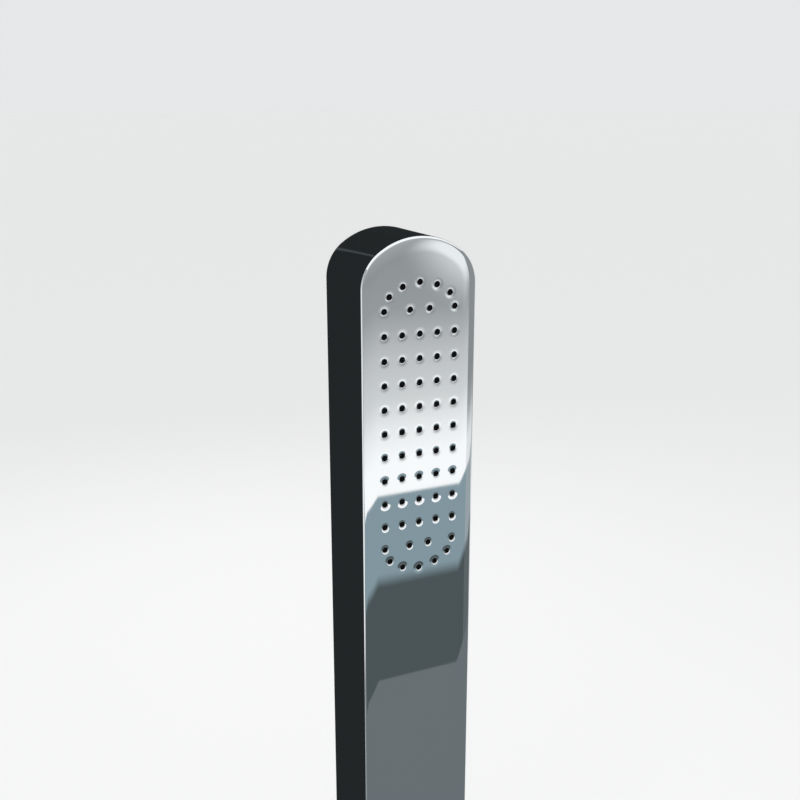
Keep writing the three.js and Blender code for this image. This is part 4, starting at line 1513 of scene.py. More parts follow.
@dataclass
class Controls(SubAssembly):
    """Temperature knob with its stop button, diverter knob with its lever, and both escutcheons."""

    paint: Paintshop
    knob_radius: float = 23.0
    knob_back: float = -79.9
    temperature_z: float = 0.26
    diverter_z: float = 0.09
    flutes: int = 30
    ticks: int = 11

    def __post_init__(self) -> None:
        """Keep the paintshop."""
        super().__init__(self.paint)

    def escutcheon(self, name: str, height: float, dial: bool) -> bpy.types.Object:
        """Ring on the face behind a knob, with dial marks cut in its rim on request.

        Args:
            name: Name of the escutcheon.
            height: Height of its middle.
            dial: Whether it carries the dial.

        Returns:
            The escutcheon.
        """
        section = profile_mm(
            (16.0, -75.3), (30.0, -75.3), (30.0, -77.6), (29.7, -78.2), (29.1, -78.7), (28.2, -79.1),
            (27.0, -79.3), (24.6, -79.3), (24.3, -79.0), (23.9, -79.0), (23.6, -79.3), (16.0, -79.3),
            (16.0, -75.3),
        )
        ring = Bench.turned(name, section, (0.0, 0.0, height), BACK, 96)
        if dial:
            for number in range(self.ticks):
                angle = math.radians(-60 + 120 * number / (self.ticks - 1))
                long = number % 5 == 0
                inner, outer = (25.2 if long else 26.4) * MM, 28.6 * MM
                side = Vector((math.cos(angle), 0.0, -math.sin(angle))) * (0.35 if long else 0.22) * MM
                out = Vector((math.sin(angle), 0.0, math.cos(angle)))
                middle = Vector((0.0, -79.6 * MM, height))
                corners = [
                    tuple(middle + out * inner - side), tuple(middle + out * outer - side),
                    tuple(middle + out * outer + side), tuple(middle + out * inner + side),
                ]
                Bench.cut(ring, Bench.plate("tick", corners, (0.0, 0.75 * MM, 0.0)))
        return ring

    def knob(self, name: str, height: float, length: float, grip: Grip) -> bpy.types.Object:
        """Hollow-backed knob with a slightly dished front.

        Args:
            name: Name of the piece.
            height: Height of its axis.
            length: Its length in millimetres.
            grip: How its rim is made.

        Returns:
            The knob.
        """
        back, front = self.knob_back, self.knob_back - length
        r = self.knob_radius
        section = profile_mm(
            (0.0, front + 0.9), (8.0, front + 0.8), (14.0, front + 0.45), (18.6, front + 0.05),
            (20.2, front), (21.3, front + 0.15), (22.2, front + 0.6), (22.8, front + 1.3),
            (r, front + 2.2), (r, back - 6.0), (r - 0.5, back - 5.6), (r - 0.5, back - 4.8),
            (r, back - 4.4), (r, back - 0.5), (r - 0.5, back), (17.5, back), (17.5, back - 8.0),
            (4.4, back - 8.0), (4.4, front + 6.0), (0.0, front + 6.0),
        )
        piece = Bench.turned(name, section, (0.0, 0.0, height), BACK, 96)
        if grip is Grip.FLUTED:
            groove = profile_mm(
                (0.0, front + 3.6), (0.55, front + 3.9), (0.95, front + 5.0), (0.95, back - 8.6),
                (0.55, back - 7.5), (0.0, back - 7.2)
            )
            spread = math.pi / self.flutes
            at = ((r + 0.35) * MM * math.sin(spread), 0.0, height + (r + 0.35) * MM * math.cos(spread))
            tool = Bench.turned("flute", groove, at, BACK, 12)
            tools = Bench.round_about(tool, self.flutes, (0.0, 0.0, height), "Y")
            Bench.cut(piece, tools)
        return piece

    def build(self) -> "Controls":
        """Model and dress the controls.

        Returns:
            This sub-assembly.
        """
        dial = self.escutcheon("temperature_dial", self.temperature_z, True)
        self.finish(dial, Finish.CHROME, "column", "temperature_escutcheon")
        plain = self.escutcheon("diverter_plate", self.diverter_z, False)
        self.finish(plain, Finish.CHROME, "column", "diverter_escutcheon")
        knob = self.knob("thermostat_knob", self.temperature_z, 33.0, Grip.FLUTED)
        y = self.knob_back - 33.0 / 2 - 3
        socket = profile_mm((0.0, 13.9), (3.7, 13.9), (3.7, 22.4), (4.3, 23.4), (4.3, 26.0), (0.0, 26.0))
        Bench.cut(knob, Bench.turned("socket", socket, (0.0, y * MM, self.temperature_z), UP, 32))
        self.finish(knob, Finish.CHROME, "temperature_control", "temperature_knob")
        section = profile_mm(
            (0.0, 15.8), (3.4, 15.8), (3.4, 23.9), (3.2, 24.4), (2.7, 24.7), (1.6, 24.72), (0.0, 24.55)
        )
        button = Bench.turned("safety_button", section, (0.0, y * MM, self.temperature_z), UP, 32)
        self.finish(button, Finish.RED_PLASTIC, "stop_button", "stop_button")
        knob = self.knob("function_knob", self.diverter_z, 28.0, Grip.PLAIN)
        self.finish(knob, Finish.CHROME, "diverter_control", "diverter_knob")
        y = self.knob_back - 28.0 / 2 - 3
        section = profile_mm(
            (0.0, 23.3), (2.8, 23.3), (2.8, 24.2), (2.95, 25.6), (3.3, 27.2), (3.6, 29.2), (3.6, 44.8),
            (3.45, 46.2), (3.0, 47.2), (2.2, 47.8), (1.1, 48.0), (0.0, 48.0),
        )
        lever = Bench.turned("function_lever", section, (0.0, y * MM, self.diverter_z), UP, 40)
        self.finish(lever, Finish.CHROME, "diverter_control", "diverter_lever")
        self.keep("temperature_spindle", Finish.BRASS)
        self.keep("diverter_spindle", Finish.BRASS)
        return self


@dataclass
class Valves(SubAssembly):
    """Brass mixer and diverter bodies, and the supply inlets."""

    paint: Paintshop
    mixer_z: float = 260.0
    diverter_z: float = 90.0
    inlet_x: float = 21.0
    inlet_y: float = -45.0
    link_y: float = -62.0
    outlet_y: float = -35.0
    hose_y: float = -18.0
    port_x: float = 36.0

    def __post_init__(self) -> None:
        """Keep the paintshop."""
        super().__init__(self.paint)

    def barrel(self, name: str, radius: float, back: float, height: float) -> bpy.types.Object:
        """Valve barrel with its threaded nose.

        Args:
            name: Name of the barrel.
            radius: Its radius.
            back: Where its rear end is.
            height: Height of its axis.

        Returns:
            The barrel.
        """
        section = profile_mm(
            (0.0, -77.5), (14.8, -77.5), *[(r, -p) for r, p in thread(15.5, 77.2, 73.9, 1.1, 0.35)],
            (15.5, -73.2), (radius - 0.6, -73.2), (radius, -72.6), (radius, -71.0),
            (radius - 0.8, -70.2), (radius - 0.8, -66.0), (radius, -65.2), (radius, back - 1.2),
            (radius - 1.2, back), (0.0, back),
        )
        piece = Bench.turned(name, section, (0.0, 0.0, height * MM), BACK, 64)
        bore = profile_mm((0.0, -80.0), (12.5, -80.0), (12.5, -52.0), (0.0, -52.0))
        return Bench.cut(piece, Bench.turned("bore", bore, (0.0, 0.0, height * MM), BACK, 48))

    def stub(self, x: float, y: float, low: float, high: float, radius: float = 9.0) -> bpy.types.Object:
        """Upright boss with a softened rim at both ends.

        Args:
            x: Place across.
            y: Place in depth.
            low: Its lower end.
            high: Its upper end.
            radius: Its radius.

        Returns:
            The stub.
        """
        section = profile_mm(
            (0.0, low), (radius - 0.7, low), (radius, low + 0.7), (radius, high - 0.7),
            (radius - 0.7, high), (0.0, high)
        )
        return Bench.turned("stub", section, mm(x, y, 0.0), UP, 40)

    def upright_bore(self, x: float, y: float, low: float, high: float, radius: float) -> bpy.types.Object:
        """Cutting tool for an upright hole."""
        section = profile_mm((0.0, low), (radius, low), (radius, high), (0.0, high))
        return Bench.turned("bore", section, mm(x, y, 0.0), UP, 32)

    def mixer(self) -> bpy.types.Object:
        """Mixer body with two inlet legs and its outlet below.

        Returns:
            The mixer body.
        """
        z = self.mixer_z
        body = self.barrel("mixer_casting", 23.0, -33.2, z)
        bar = Bench.box("bar", mm(-30, -54, z - 21), mm(30, -36, z - 3), 1.5 * MM)
        legs = [self.stub(x, self.inlet_y, z - 37, z - 8) for x in (-self.inlet_x, self.inlet_x)]
        outlet = self.stub(0.0, self.link_y, z - 29, z)
        Bench.merge(body, bar, *legs, outlet)
        bores = [
            self.upright_bore(x, self.inlet_y, z - 40, z - 12, 6.0) for x in (-self.inlet_x, self.inlet_x)
        ]
        cavity = profile_mm((0.0, -80.0), (12.5, -80.0), (12.5, -39.2), (0.0, -39.2))
        bores.append(Bench.turned("cavity", cavity, (0.0, 0.0, z * MM), BACK, 48))
        bores.append(self.upright_bore(0.0, self.link_y, z - 32, z - 19, 6.5))
        return Bench.cut(body, *bores)

    def diverter(self) -> bpy.types.Object:
        """Diverter body with its cross block, ports, inlet above and outlet below.

        Returns:
            The diverter body.
        """
        z = self.diverter_z
        body = self.barrel("diverter_casting", 20.0, -27.0, z)
        block = Bench.box("block", mm(-43, -28, z - 14), mm(43, -8, z + 14), 1.5 * MM)
        inlet = self.stub(0.0, self.link_y, z, z + 26)
        outlet = self.stub(0.0, self.outlet_y, z - 26, z)
        ports = []
        for x in (-self.port_x, self.port_x):
            ridges = [(r, p) for r, p in thread(6.0, z + 15, z + 25.4, 1.3, 0.35)]
            section = profile_mm(
                (0.0, z + 10), (6.0, z + 10), (6.0, z + 14.6), *ridges, (5.2, z + 26), (0.0, z + 26)
            )
            ports.append(Bench.turned("port", section, mm(x, self.hose_y, 0.0), UP, 32))
        Bench.merge(body, block, inlet, outlet, *ports)
        tools = [
            self.upright_bore(0.0, self.link_y, z + 16, z + 30, 6.5),
            self.upright_bore(0.0, self.outlet_y, z - 30, z - 16, 6.5),
            Bench.turned(
                "cavity", profile_mm((0.0, -80.0), (12.5, -80.0), (12.5, -47.0), (0.0, -47.0)),
                (0.0, 0.0, z * MM), BACK, 48
            ),
        ]
        return Bench.cut(body, *tools)

    def supply_elbow(self, name: str, x: float) -> bpy.types.Object:
        """Elbow from a leg towards the wall, with a socket for the supply.

        Args:
            name: Name of the elbow.
            x: Place of its axis across.

        Returns:
            The elbow.
        """
        z = self.mixer_z - 57
        bend = 10.0
        y = self.inlet_y
        route = [mm(x, y, z + 19.7), mm(x, y, z + bend)]
        for step in range(1, 9):
            angle = math.pi / 2 * step / 8
            route.append(mm(x, y + bend - bend * math.cos(angle), z + bend - bend * math.sin(angle)))
        route.append(mm(x, -15.0, z))
        body = Bench.tube(name, route, 8.6 * MM, 32)
        Bench.clean()
        collar = profile_mm(
            (0.0, -20.0), (10.8, -20.0), (11.5, -19.3), (11.5, -6.7), (10.9, -6.0), (0.0, -6.0)
        )
        Bench.merge(
            body, Bench.turned("collar", collar, mm(x, 0.0, z), BACK, 40),
            self.stub(x, y, z + 14, z + 19.7, 9.0)
        )
        ridges = [(r, p) for r, p in thread(9.5, -16.0, -6.6, 1.3, -0.3)]
        socket = profile_mm((0.0, -16.0), *ridges, (9.8, -4.0), (0.0, -4.0))
        hole = self.upright_bore(x, y, z + 6, z + 22, 6.0)
        return Bench.cut(body, Bench.turned("socket", socket, mm(x, 0.0, z), BACK, 32), hole)

    def build(self) -> "Valves":
        """Model and dress the valves.

        Returns:
            This sub-assembly.
        """
        self.finish(self.mixer(), Finish.BRASS, "column", "mixer_body")
        self.finish(self.diverter(), Finish.BRASS, "column", "diverter_body")
        for supply, x in (("hot", -self.inlet_x), ("cold", self.inlet_x)):
            self.finish(
                self.supply_elbow(f"{supply}_elbow", x), Finish.BRASS, "column", f"{supply}_supply_elbow"
            )
            at = mm(x, self.inlet_y, self.mixer_z - 36.7)
            nut = Bench.nut(f"{supply}_nut", 22 * MM, 9.5 * MM, at, 8.7 * MM, UP)
            self.finish(nut, Finish.BRASS, "column", f"{supply}_union_nut")
            self.keep(f"{supply}_check_valve", Finish.WHITE_PLASTIC)
        self.keep("thermostat_cartridge", Finish.WHITE_PLASTIC)
        self.keep("diverter_cartridge", Finish.WHITE_PLASTIC)
        self.keep("diverter_disc", Finish.CERAMIC)
        return self


@dataclass
class Plumbing(SubAssembly):
    """Braided hoses, copper pipes, clips and the outlet for a hand shower."""

    paint: Paintshop
    hose_y: float = -18.0
    hose_x: float = 40.0
    port_x: float = 36.0
    hose_low: float = 116.3
    hose_radius: float = 5.9
    spread: float = 50.0
    straight: float = 12.0
    outlet_y: float = -35.0
    clip_heights: tuple[float, ...] = (358.5, 555.5)

    def __post_init__(self) -> None:
        """Keep the paintshop."""
        super().__init__(self.paint)

    def hose(self, name: str, stops: Sequence[tuple[float, float]]) -> bpy.types.Object:
        """Braided hose that eases across from each stop to the next.

        Args:
            name: Name of the piece.
            stops: Places as (x, height) in millimetres.

        Returns:
            The hose.
        """
        route = [mm(stops[0][0], self.hose_y, stops[0][1])]
        for (x0, z0), (x1, z1) in zip(stops, stops[1:]):
            pieces = 4 if x0 == x1 else 18
            for step in range(1, pieces + 1):
                t = step / pieces
                ease = t * t * t * (t * (6 * t - 15) + 10)
                route.append(mm(x0 + (x1 - x0) * ease, self.hose_y, z0 + (z1 - z0) * t))
        return Bench.tube(name, route, self.hose_radius * MM, 20)

    def ferrule(self, name: str, x: float, low: float) -> bpy.types.Object:
        """Crimped sleeve on a hose's end.

        Args:
            name: Name of the ferrule.
            x: Place across.
            low: Its lower end.

        Returns:
            The ferrule.
        """
        section = profile_mm(
            (5.0, low), (6.0, low), (6.0, low + 3.0), (5.96, low + 3.4), (6.0, low + 3.8),
            (6.0, low + 10.6), (5.0, low + 11.0), (5.0, low)
        )
        return Bench.turned(name, section, mm(x, self.hose_y, 0.0), UP, 32)

    def pipe(self, name: str, y: float, low: float, high: float) -> bpy.types.Object:
        """Straight pipe with a small chamfer at each end.

        Args:
            name: Name of the pipe.
            y: Place in depth.
            low: Its lower end.
            high: Its upper end.

        Returns:
            The pipe.
        """
        section = profile_mm(
            (4.0, low), (5.7, low), (6.0, low + 0.4), (6.0, high - 0.4), (5.7, high), (4.0, high), (4.0, low)
        )
        return Bench.turned(name, section, mm(0.0, y, 0.0), UP, 40)

    def outlet(self) -> bpy.types.Object:
        """Threaded hand-shower outlet with its collar.

        Returns:
            The outlet.
        """
        ridges = thread(10.4, -115.3, -103.4, 1.8, 0.75)
        inner = thread(10.4, -98.0, -76.6, 1.8, 0.6)
        section = profile_mm(
            (5.0, -116.3), (9.0, -116.3), *ridges, (9.7, -103.3), (13.4, -103.3), (14.0, -102.7),
            (14.0, -100.0), (13.4, -99.3), (9.9, -99.3), *inner, (9.6, -76.0), (6.5, -76.0),
            (6.5, -88.0), (5.0, -88.0), (5.0, -116.3),
        )
        return Bench.turned("hand_shower_outlet", section, mm(0.0, self.outlet_y, 0.0), UP, 64)

    def clip(self, name: str, height: float) -> bpy.types.Object:
        """Moulded clip round the rain hose, with its foot on the casing's side.

        Args:
            name: Name of the clip.
            height: Height of its middle.

        Returns:
            The clip.
        """
        foot = Bench.box(name, mm(46.6, -26.0, height - 5), mm(48.2, -10.0, height + 5), 0.4 * MM)
        ring = profile_mm((6.6, -5.0), (7.6, -4.6), (7.6, 4.6), (6.6, 5.0), (6.6, -5.0))
        loop = Bench.turned("loop", ring, mm(self.hose_x, self.hose_y, height), UP, 40)
        return Bench.merge(foot, loop)

    def build(self) -> "Plumbing":
        """Model and dress the plumbing.

        Returns:
            This sub-assembly.
        """
        low = self.hose_low
        bent = low + self.straight + self.spread
        top = 977.1
        stops = [
            (self.port_x, low), (self.port_x, low + self.straight), (self.hose_x, bent),
            (self.hose_x, 660.0)
        ]
        rain = self.hose("rain_braid", [*stops, (0.0, top - self.straight), (0.0, top)])
        self.finish(rain, Finish.STEEL_BRAID, "column", "rain_hose")
        top = 369.7
        stops = [
            (-self.port_x, low), (-self.port_x, low + self.straight), (-self.hose_x, bent),
            (-self.hose_x, 220.5)
        ]
        jets = self.hose("jet_braid", [*stops, (0.0, top - self.straight), (0.0, top)])
        self.finish(jets, Finish.STEEL_BRAID, "column", "jet_hose")
        ends = (("rain_hose_ferrule", 0.0, 966.0, "rain_hose"), ("jet_hose_ferrule", 0.0, 358.6, "jet_hose"))
        for name, x, height, node in ends:
            self.finish(self.ferrule(name, x, height), Finish.SATIN_STEEL, "column", node)
        for name, x in (("rain_hose_nut", self.port_x), ("jet_hose_nut", -self.port_x)):
            nut = Bench.nut(
                name.replace("hose", "union"), 17 * MM, 6.5 * MM, mm(x, self.hose_y, 106.0), 16 * MM, UP
            )
            self.finish(nut, Finish.BRASS, "column", name)
        self.finish(self.pipe("link_tube", -62.0, 106.3, 240.7), Finish.COPPER, "column", "link_pipe")
        self.finish(
            self.pipe("outlet_tube", self.outlet_y, -87.7, 73.7), Finish.COPPER, "column", "outlet_pipe"
        )
        self.finish(self.outlet(), Finish.CHROME, "column", "hose_outlet")
        nut = Bench.nut("outlet_nut", 27 * MM, 10.5 * MM, mm(0.0, self.outlet_y, -96.7), 6 * MM, UP)
        self.finish(nut, Finish.BRASS, "column", "outlet_backnut")
        for place, height in zip(("lower", "upper"), self.clip_heights):
            self.finish(
                self.clip(f"{place}_clip", height), Finish.DARK_PLASTIC, "column", f"hose_clip_{place}"
            )
        return self


@dataclass
class Fixings(SubAssembly):
    """Wall brackets, crossbars, the bottom cap and its screws."""

    paint: Paintshop
    levels: tuple[tuple[str, float], ...] = (("lower", 0.0), ("upper", 1090.0))

    def __post_init__(self) -> None:
        """Keep the paintshop."""
        super().__init__(self.paint)

    def crosswise(
        self,
        name: str,
        section: Sequence[tuple[float, float]],
        half: float,
        level: float,
    ) -> bpy.types.Object:
        """Folded plate: a section in y and z, in millimetres, drawn across the column."""
        outline = [mm(-half, y, level + z) for y, z in section]
        return Bench.plate(name, outline, mm(2 * half, 0.0, 0.0), 0.35 * MM)

    def bracket(self, name: str, level: float) -> bpy.types.Object:
        """Hook plate with two screw holes and a slot between them.

        Args:
            name: Name of the bracket.
            level: Height of the bracket.

        Returns:
            The bracket.
        """
        section = [
            (0.0, -22.0), (0.0, 21.0), (-1.0, 22.0), (-5.0, 22.0), (-5.9, 22.9), (-5.9, 33.3),
            (-8.1, 33.3), (-8.1, 20.6), (-7.0, 19.5), (-2.5, 19.5), (-2.5, -22.0),
        ]
        plate = self.crosswise(name, section, 30.0, level)
        tools = []
        for x in (-20.0, 20.0):
            hole = profile_mm((0.0, -6.0), (4.4, -6.0), (4.4, -2.5), (2.8, -1.3), (2.8, 2.0), (0.0, 2.0))
            tools.append(Bench.turned("hole", hole, mm(x, 0.0, level - 2.0), BACK, 32))
        slot = Bench.box("slot", mm(-9.0, -6.0, level - 4.6), mm(9.0, 2.0, level + 0.6), 1.2 * MM)
        return Bench.cut(plate, *tools, slot)

    def crossbar(self, name: str, level: float) -> bpy.types.Object:
        """Folded bar with its welded ends.

        Args:
            name: Name of the crossbar.
            level: Height of the crossbar.

        Returns:
            The crossbar.
        """
        section = [
            (-13.0, -15.0), (-11.0, -15.0), (-11.0, 32.8), (-10.2, 33.6), (-6.1, 33.6), (-5.3, 32.8),
            (-5.3, 25.0), (-3.3, 25.0), (-3.3, 34.2), (-4.7, 35.6), (-11.6, 35.6), (-13.0, 34.2),
        ]
        bar = self.crosswise(name, section, 48.2, level)
        for side in (-1, 1):
            x = sorted((side * 46.2, side * 48.2))
            end = Bench.box("end", mm(x[0], -35.0, level - 15), mm(x[1], -11.0, level + 33.6), 0.35 * MM)
            Bench.merge(bar, end)
        slots = []
        for x in (-24.0, 24.0):
            slots.append(
                Bench.box("slot", mm(x - 10, -20.0, level - 1), mm(x + 10, -9.0, level + 5), 1.5 * MM)
            )
        return Bench.cut(bar, *slots)

    def cap(self) -> bpy.types.Object:
        """Bottom cap with a folded tab at each side.

        Returns:
            The cap.
        """
        plate = Bench.box("lower_cap", mm(-48.2, -73.2, -99.0), mm(48.2, -1.0, -97.0), 0.35 * MM)
        for side in (-1, 1):
            x = sorted((side * 46.2, side * 48.2))
            Bench.merge(plate, Bench.box("tab", mm(x[0], -44.0, -99.0), mm(x[1], -26.0, -79.0), 0.35 * MM))
        hole = profile_mm((0.0, -105.0), (10.9, -105.0), (10.9, -90.0), (0.0, -90.0))
        return Bench.cut(plate, Bench.turned("hole", hole, mm(0.0, -35.0, 0.0), UP, 48))

    def screw(self, side: int) -> bpy.types.Object:
        """Cap screw with a domed, cross-slotted head.

        Args:
            side: -1 for the left side and 1 for the right.

        Returns:
            The screw.
        """
        name = "left_screw" if side < 0 else "right_screw"
        ridges = thread(1.8, 44.0, 49.6, 0.7, 0.2)
        section = profile_mm(
            (0.0, 43.2), (1.2, 43.2), *ridges, (1.8, 50.2), (3.9, 50.2), (4.0, 50.4), (3.9, 50.9),
            (3.4, 51.3), (2.5, 51.6), (1.2, 51.77), (0.0, 51.8),
        )
        at = mm(0.0, -35.0, -86.0)
        screw = Bench.turned(name, section, at, (float(side), 0.0, 0.0), 32)
        x = sorted((side * 50.95, side * 53.0))
        slots = [
            Bench.box("slot", mm(x[0], -37.1, -86.3), mm(x[1], -32.9, -85.7)),
            Bench.box("slot", mm(x[0], -35.3, -88.1), mm(x[1], -34.7, -83.9)),
        ]
        return Bench.cut(screw, *slots)

    def build(self) -> "Fixings":
        """Model and dress the fixings.

        Returns:
            This sub-assembly.
        """
        for place, level in self.levels:
            bracket = self.bracket(f"{place}_hook_plate", level)
            self.finish(bracket, Finish.SATIN_STEEL, "column", f"{place}_wall_bracket")
            self.finish(
                self.crossbar(f"{place}_bar", level), Finish.SATIN_STEEL, "column", f"{place}_crossbar"
            )
        self.finish(self.cap(), Finish.SATIN_STEEL, "column", "bottom_cap")
        self.finish(self.screw(-1), Finish.SATIN_STEEL, "column", "cap_screw_left")
        self.finish(self.screw(1), Finish.SATIN_STEEL, "column", "cap_screw_right")
        return self


@dataclass
class Studio:
    """Pale floor, soft light, camera, and the cards that polished metal mirrors."""

    floor_z: float = -0.135
    camera_at: Point = (-0.35693, -0.79901, 1.35032)
    tilt: float = 73.963
    turn: float = -25.112
    lens: float = 46.863
    room: tuple[tuple[float, Colour], ...] = (
        (-0.20, (75, 84, 86)),
        (0.138, (75, 84, 86)),
        (0.172, (130, 149, 157)),
        (0.388, (130, 149, 157)),
        (0.392, (250, 250, 250)),
        (0.48, (248, 249, 249)),
        (0.57, (231, 232, 232)),
        (0.64, (206, 208, 208)),
        (0.75, (188, 190, 191)),
        (0.87, (150, 153, 154)),
        (1.00, (142, 145, 146)),
        (1.45, (168, 171, 172)),
        (1.80, (236, 238, 238)),
    )
    room_side: tuple[tuple[float, Colour], ...] = (
        (-0.20, (92, 99, 101)),
        (0.138, (92, 99, 101)),
        (0.174, (150, 160, 165)),
        (0.386, (150, 160, 165)),
        (0.396, (224, 225, 226)),
        (0.47, (221, 223, 224)),
        (0.56, (158, 162, 163)),
        (0.64, (136, 140, 141)),
        (1.90, (134, 138, 140)),
    )
    room_left: tuple[tuple[float, Colour], ...] = (
        (-0.20, (120, 127, 130)),
        (0.24, (128, 135, 138)),
        (0.32, (234, 236, 237)),
        (0.90, (234, 236, 237)),
        (1.90, (150, 154, 156)),
    )
    reflectance: float = 0.8

    @staticmethod
    def linear(tone: float) -> float:
        """Scene value of a display tone from 0 to 255."""
        share = tone / 255
        return share / 12.92 if share <= 0.04045 else ((share + 0.055) / 1.055) ** 2.4

    def glow(self, name: str) -> tuple[bpy.types.Material, bpy.types.Node]:
        """A plain light-giving material and its emission node.

        Args:
            name: Name of the material.

        Returns:
            The material and its emission node.
        """
        material = bpy.data.materials.new(name)
        material.use_nodes = True
        tree = material.node_tree
        tree.nodes.clear()
        output = tree.nodes.new("ShaderNodeOutputMaterial")
        emission = tree.nodes.new("ShaderNodeEmission")
        emission.inputs["Strength"].default_value = 1.0 / self.reflectance
        tree.links.new(emission.outputs["Emission"], output.inputs["Surface"])
        return material, emission

    def card(self, name: str, corners: Sequence[Point], material: bpy.types.Material) -> bpy.types.Object:
        """A flat card that only mirrors see.

        Args:
            name: Name of the card.
            corners: Its four corners in order.
            material: Its light.

        Returns:
            The card.
        """
        Bench.chain([*corners, corners[0]])
        bpy.ops.mesh.remove_doubles(threshold=0.01 * MM)
        bpy.ops.mesh.edge_face_add()
        card = Bench.adopt(name)
        card.data.materials.append(material)
        card.visible_camera = False
        card.visible_diffuse = False
        card.visible_shadow = False
        card.visible_transmission = False
        card.visible_volume_scatter = False
        return card

    def upright(
        self, name: str, start: tuple[float, float], end: tuple[float, float], low: float, high: float,
        material: bpy.types.Material,
    ) -> None:
        """Stand a card on end between two places.

        Args:
            name: Name of the card.
            start: Where it starts, as x and y.
            end: Where it ends, as x and y.
            low: Height of its lower edge.
            high: Height of its upper edge.
            material: Its light.
        """
        self.card(name, [(*start, low), (*end, low), (*end, high), (*start, high)], material)

    def level(
        self, name: str, near: tuple[float, float], far: tuple[float, float], height: float,
        material: bpy.types.Material,
    ) -> None:
        """Lay a card flat between two corners.

        Args:
            name: Name of the card.
            near: Its front left corner, as x and y.
            far: Its rear right corner, as x and y.
            height: Where it lies.
            material: Its light.
        """
        corners = [(*near, height), (far[0], near[1], height), (*far, height), (near[0], far[1], height)]
        self.card(name, corners, material)

    def banded(self, name: str, bands: Sequence[tuple[float, Colour]], lamp: bool) -> bpy.types.Material:
        """Light in bands by height, with a lamp's soft glow high on the right on request.

        Args:
            name: Name of the material.
            bands: Heights in metres and their display tones, from the floor up.
            lamp: Whether the lamp's glow is in it.

        Returns:
            The material.
        """
        material, emission = self.glow(name)
        tree = material.node_tree
        place = tree.nodes.new("ShaderNodeTexCoord").outputs["Object"]
        split = tree.nodes.new("ShaderNodeSeparateXYZ")
        tree.links.new(place, split.inputs["Vector"])
        low, high = bands[0][0], bands[-1][0]
        spread = tree.nodes.new("ShaderNodeMapRange")
        spread.inputs["From Min"].default_value = low
        spread.inputs["From Max"].default_value = high
        tree.links.new(split.outputs["Z"], spread.inputs["Value"])
        ramp = tree.nodes.new("ShaderNodeValToRGB")
        tree.links.new(spread.outputs["Result"], ramp.inputs["Fac"])
        stops = ramp.color_ramp.elements
        while len(stops) < len(bands):
            stops.new(0.5)
        for stop, (height, _) in zip(stops, bands):
            stop.position = (height - low) / (high - low)
        for stop, (_, tone) in zip(ramp.color_ramp.elements, bands):
            stop.color = (*(self.linear(channel) for channel in tone), 1.0)
        if not lamp:
            tree.links.new(ramp.outputs["Color"], emission.inputs["Color"])
            return material
        centre = tree.nodes.new("ShaderNodeCombineXYZ")
        centre.inputs["X"].default_value = 0.96
        centre.inputs["Y"].default_value = -1.6
        centre.inputs["Z"].default_value = 1.12
        away = tree.nodes.new("ShaderNodeVectorMath")
        away.operation = "DISTANCE"
        tree.links.new(place, away.inputs[0])
        tree.links.new(centre.outputs["Vector"], away.inputs[1])
        fade = tree.nodes.new("ShaderNodeMapRange")
        fade.interpolation_type = "SMOOTHSTEP"
        fade.inputs["From Min"].default_value = 0.10
        fade.inputs["From Max"].default_value = 0.30
        fade.inputs["To Min"].default_value = 1.0
        fade.inputs["To Max"].default_value = 0.0
        tree.links.new(away.outputs["Value"], fade.inputs["Value"])
        mix = tree.nodes.new("ShaderNodeMix")
        mix.data_type = "RGBA"
        bright = [socket for socket in mix.inputs if socket.type == "RGBA"]
        tree.links.new(fade.outputs["Result"], mix.inputs[0])
        tree.links.new(ramp.outputs["Color"], bright[0])
        bright[1].default_value = (*(self.linear(tone) for tone in (232, 235, 236)), 1.0)
        tree.links.new(
            [socket for socket in mix.outputs if socket.type == "RGBA"][0], emission.inputs["Color"]
        )
        return material

    def plain_light(self, name: str, tone: Colour) -> bpy.types.Material:
        """One even tone.

        Args:
            name: Name of the material.
            tone: Display tone, from 0 to 255.

        Returns:
            The material.
        """
        material, emission = self.glow(name)
        emission.inputs["Color"].default_value = (*(self.linear(channel) for channel in tone), 1.0)
        return material

    def cards(self) -> None:
        """Place the cards."""
        front, low, high = -1.6, self.floor_z + MM, 1.9
        room = self.banded("room_card", self.room, True)
        side = self.banded("side_card", self.room_side, False)
        bright = self.plain_light("bright_card", (250, 251, 252))
        ground = self.plain_light("ground_card", (104, 111, 114))
        pale = self.banded("pale_card", self.room_left, False)
        dark = self.plain_light("wall_card", (34, 37, 38))
        dim_streak = self.plain_light("dim_streak_card", (46, 50, 51))
        streak = self.plain_light("streak_card", (64, 69, 71))
        left, middle, right, rear = -1.1, 1.1, 1.6, 0.25
        self.upright("room_card", (left, front), (middle, front), low, high, room)
        self.upright("side_card", (middle, front), (right, front), low, high, side)
        self.upright("right_card", (right, front), (right, rear), low, high, side)
        near = -0.8
        self.upright("left_card", (left, front), (left, near), low, high, side)
        self.upright("near_left_card", (left, near), (left, rear), low, high, pale)
        self.level("top_card", (left, front), (right, rear), high, bright)
        wall = 0.3
        sill = 1.25
        self.level("ground_card", (left, front), (right, wall - 0.01), low, ground)
        self.upright("wall_side_card", (-0.6, wall), (-0.1, wall), low, sill, dark)
        self.upright("wall_right_card", (0.1, wall), (0.6, wall), low, sill, dark)
        self.upright("wall_top_card", (-0.6, wall), (0.45, wall), sill, 1.85, dark)
        for name, half, ahead, light in (
            ("dim_streak", 0.014, 0.001, dim_streak), ("streak", 0.007, 0.002, streak)
        ):
            y = wall - ahead
            foot, head = (-0.093, 1.3), (-0.106, 1.6)
            self.card(
                name + "_card",
                [
                    (foot[0] - half, y, foot[1]),
                    (foot[0] + half, y, foot[1]),
                    (head[0] + half, y, head[1]),
                    (head[0] - half, y, head[1]),
                ],
                light,
            )

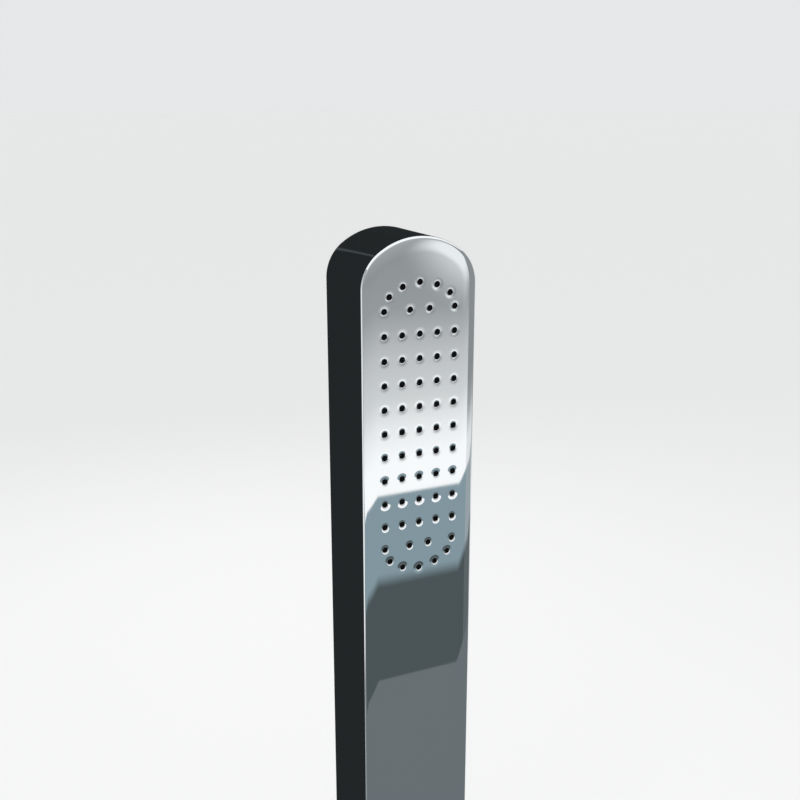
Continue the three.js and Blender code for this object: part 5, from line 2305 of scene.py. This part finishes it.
    def floor(self) -> None:
        """Plain pale floor."""
        Bench.drop()
        bpy.ops.mesh.primitive_plane_add(size=300.0, location=(0.0, 0.0, self.floor_z))
        floor = Bench.adopt("floor")
        material = bpy.data.materials.new("floor")
        material.use_nodes = True
        shader = material.node_tree.nodes["Principled BSDF"]
        shader.inputs["Base Color"].default_value = (0.80, 0.80, 0.79, 1.0)
        shader.inputs["Roughness"].default_value = 0.75
        floor.data.materials.append(material)

    def light(self) -> None:
        """Soft light from the sky and two large panels."""
        world = bpy.data.worlds.new("studio")
        bpy.context.scene.world = world
        world.use_nodes = True
        sky = world.node_tree.nodes["Background"]
        sky.inputs["Color"].default_value = (0.88, 0.89, 0.90, 1.0)
        sky.inputs["Strength"].default_value = 0.9
        panels = (
            ("key_panel", (-1.6, -2.4, 2.8), 1.6, 16.0),
            ("fill_panel", (2.4, -1.2, 2.4), 1.8, 8.0),
            ("rear_panel", (0.6, 2.6, 2.2), 2.0, 12.0),
        )
        for name, at, size, power in panels:
            Bench.drop()
            bpy.ops.object.light_add(type="AREA", location=at)
            panel = bpy.context.object
            panel.name = name
            panel.data.shape = "SQUARE"
            panel.data.size = size
            panel.data.energy = power
            aim = Vector((0.0, 0.0, 0.6)) - Vector(at)
            panel.rotation_euler = aim.to_track_quat("-Z", "Y").to_euler()
        Bench.drop()
        bpy.ops.object.light_add(
            type="SUN", location=(0.0, 0.0, 4.0), rotation=(math.radians(12.0), 0.0, 0.0)
        )
        sun = bpy.context.object
        sun.name = "overhead_light"
        sun.data.energy = 0.62
        sun.data.angle = math.radians(80.0)

    def camera(self) -> None:
        """Camera in front of the column's head, to the left and a little above it."""
        Bench.drop()
        turn = (math.radians(self.tilt), 0.0, math.radians(self.turn))
        bpy.ops.object.camera_add(location=self.camera_at, rotation=turn)
        camera = bpy.context.object
        camera.data.sensor_width = 36.0
        camera.data.lens = self.lens
        camera.data.clip_start = 0.01
        camera.data.dof.use_dof = False
        bpy.context.scene.camera = camera

    def build(self) -> "Studio":
        """Set up the whole studio.

        Returns:
            This sub-assembly.
        """
        bpy.context.scene.view_settings.view_transform = "Standard"
        self.camera()
        self.floor()
        self.light()
        self.cards()
        return self


def main() -> None:
    """Build, dress and report every sub-assembly."""
    Studio().build()
    paint = Paintshop()
    mat_low, mat_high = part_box("nozzle_mat")
    layout = SprayField(middle=(mat_low.z + mat_high.z) / 2)
    groups = (
        Casing(paint).build(layout.places()),
        RainHead(paint, layout).build(),
        BodyJets(paint).build(),
        Controls(paint).build(),
        Valves(paint).build(),
        Plumbing(paint).build(),
        Fixings(paint).build(),
    )
    for group in groups:
        for piece in group.pieces:
            log.info("%s: %s, %d faces", type(group).__name__, piece.name, len(piece.data.polygons))


if __name__ == "__main__":
    main()
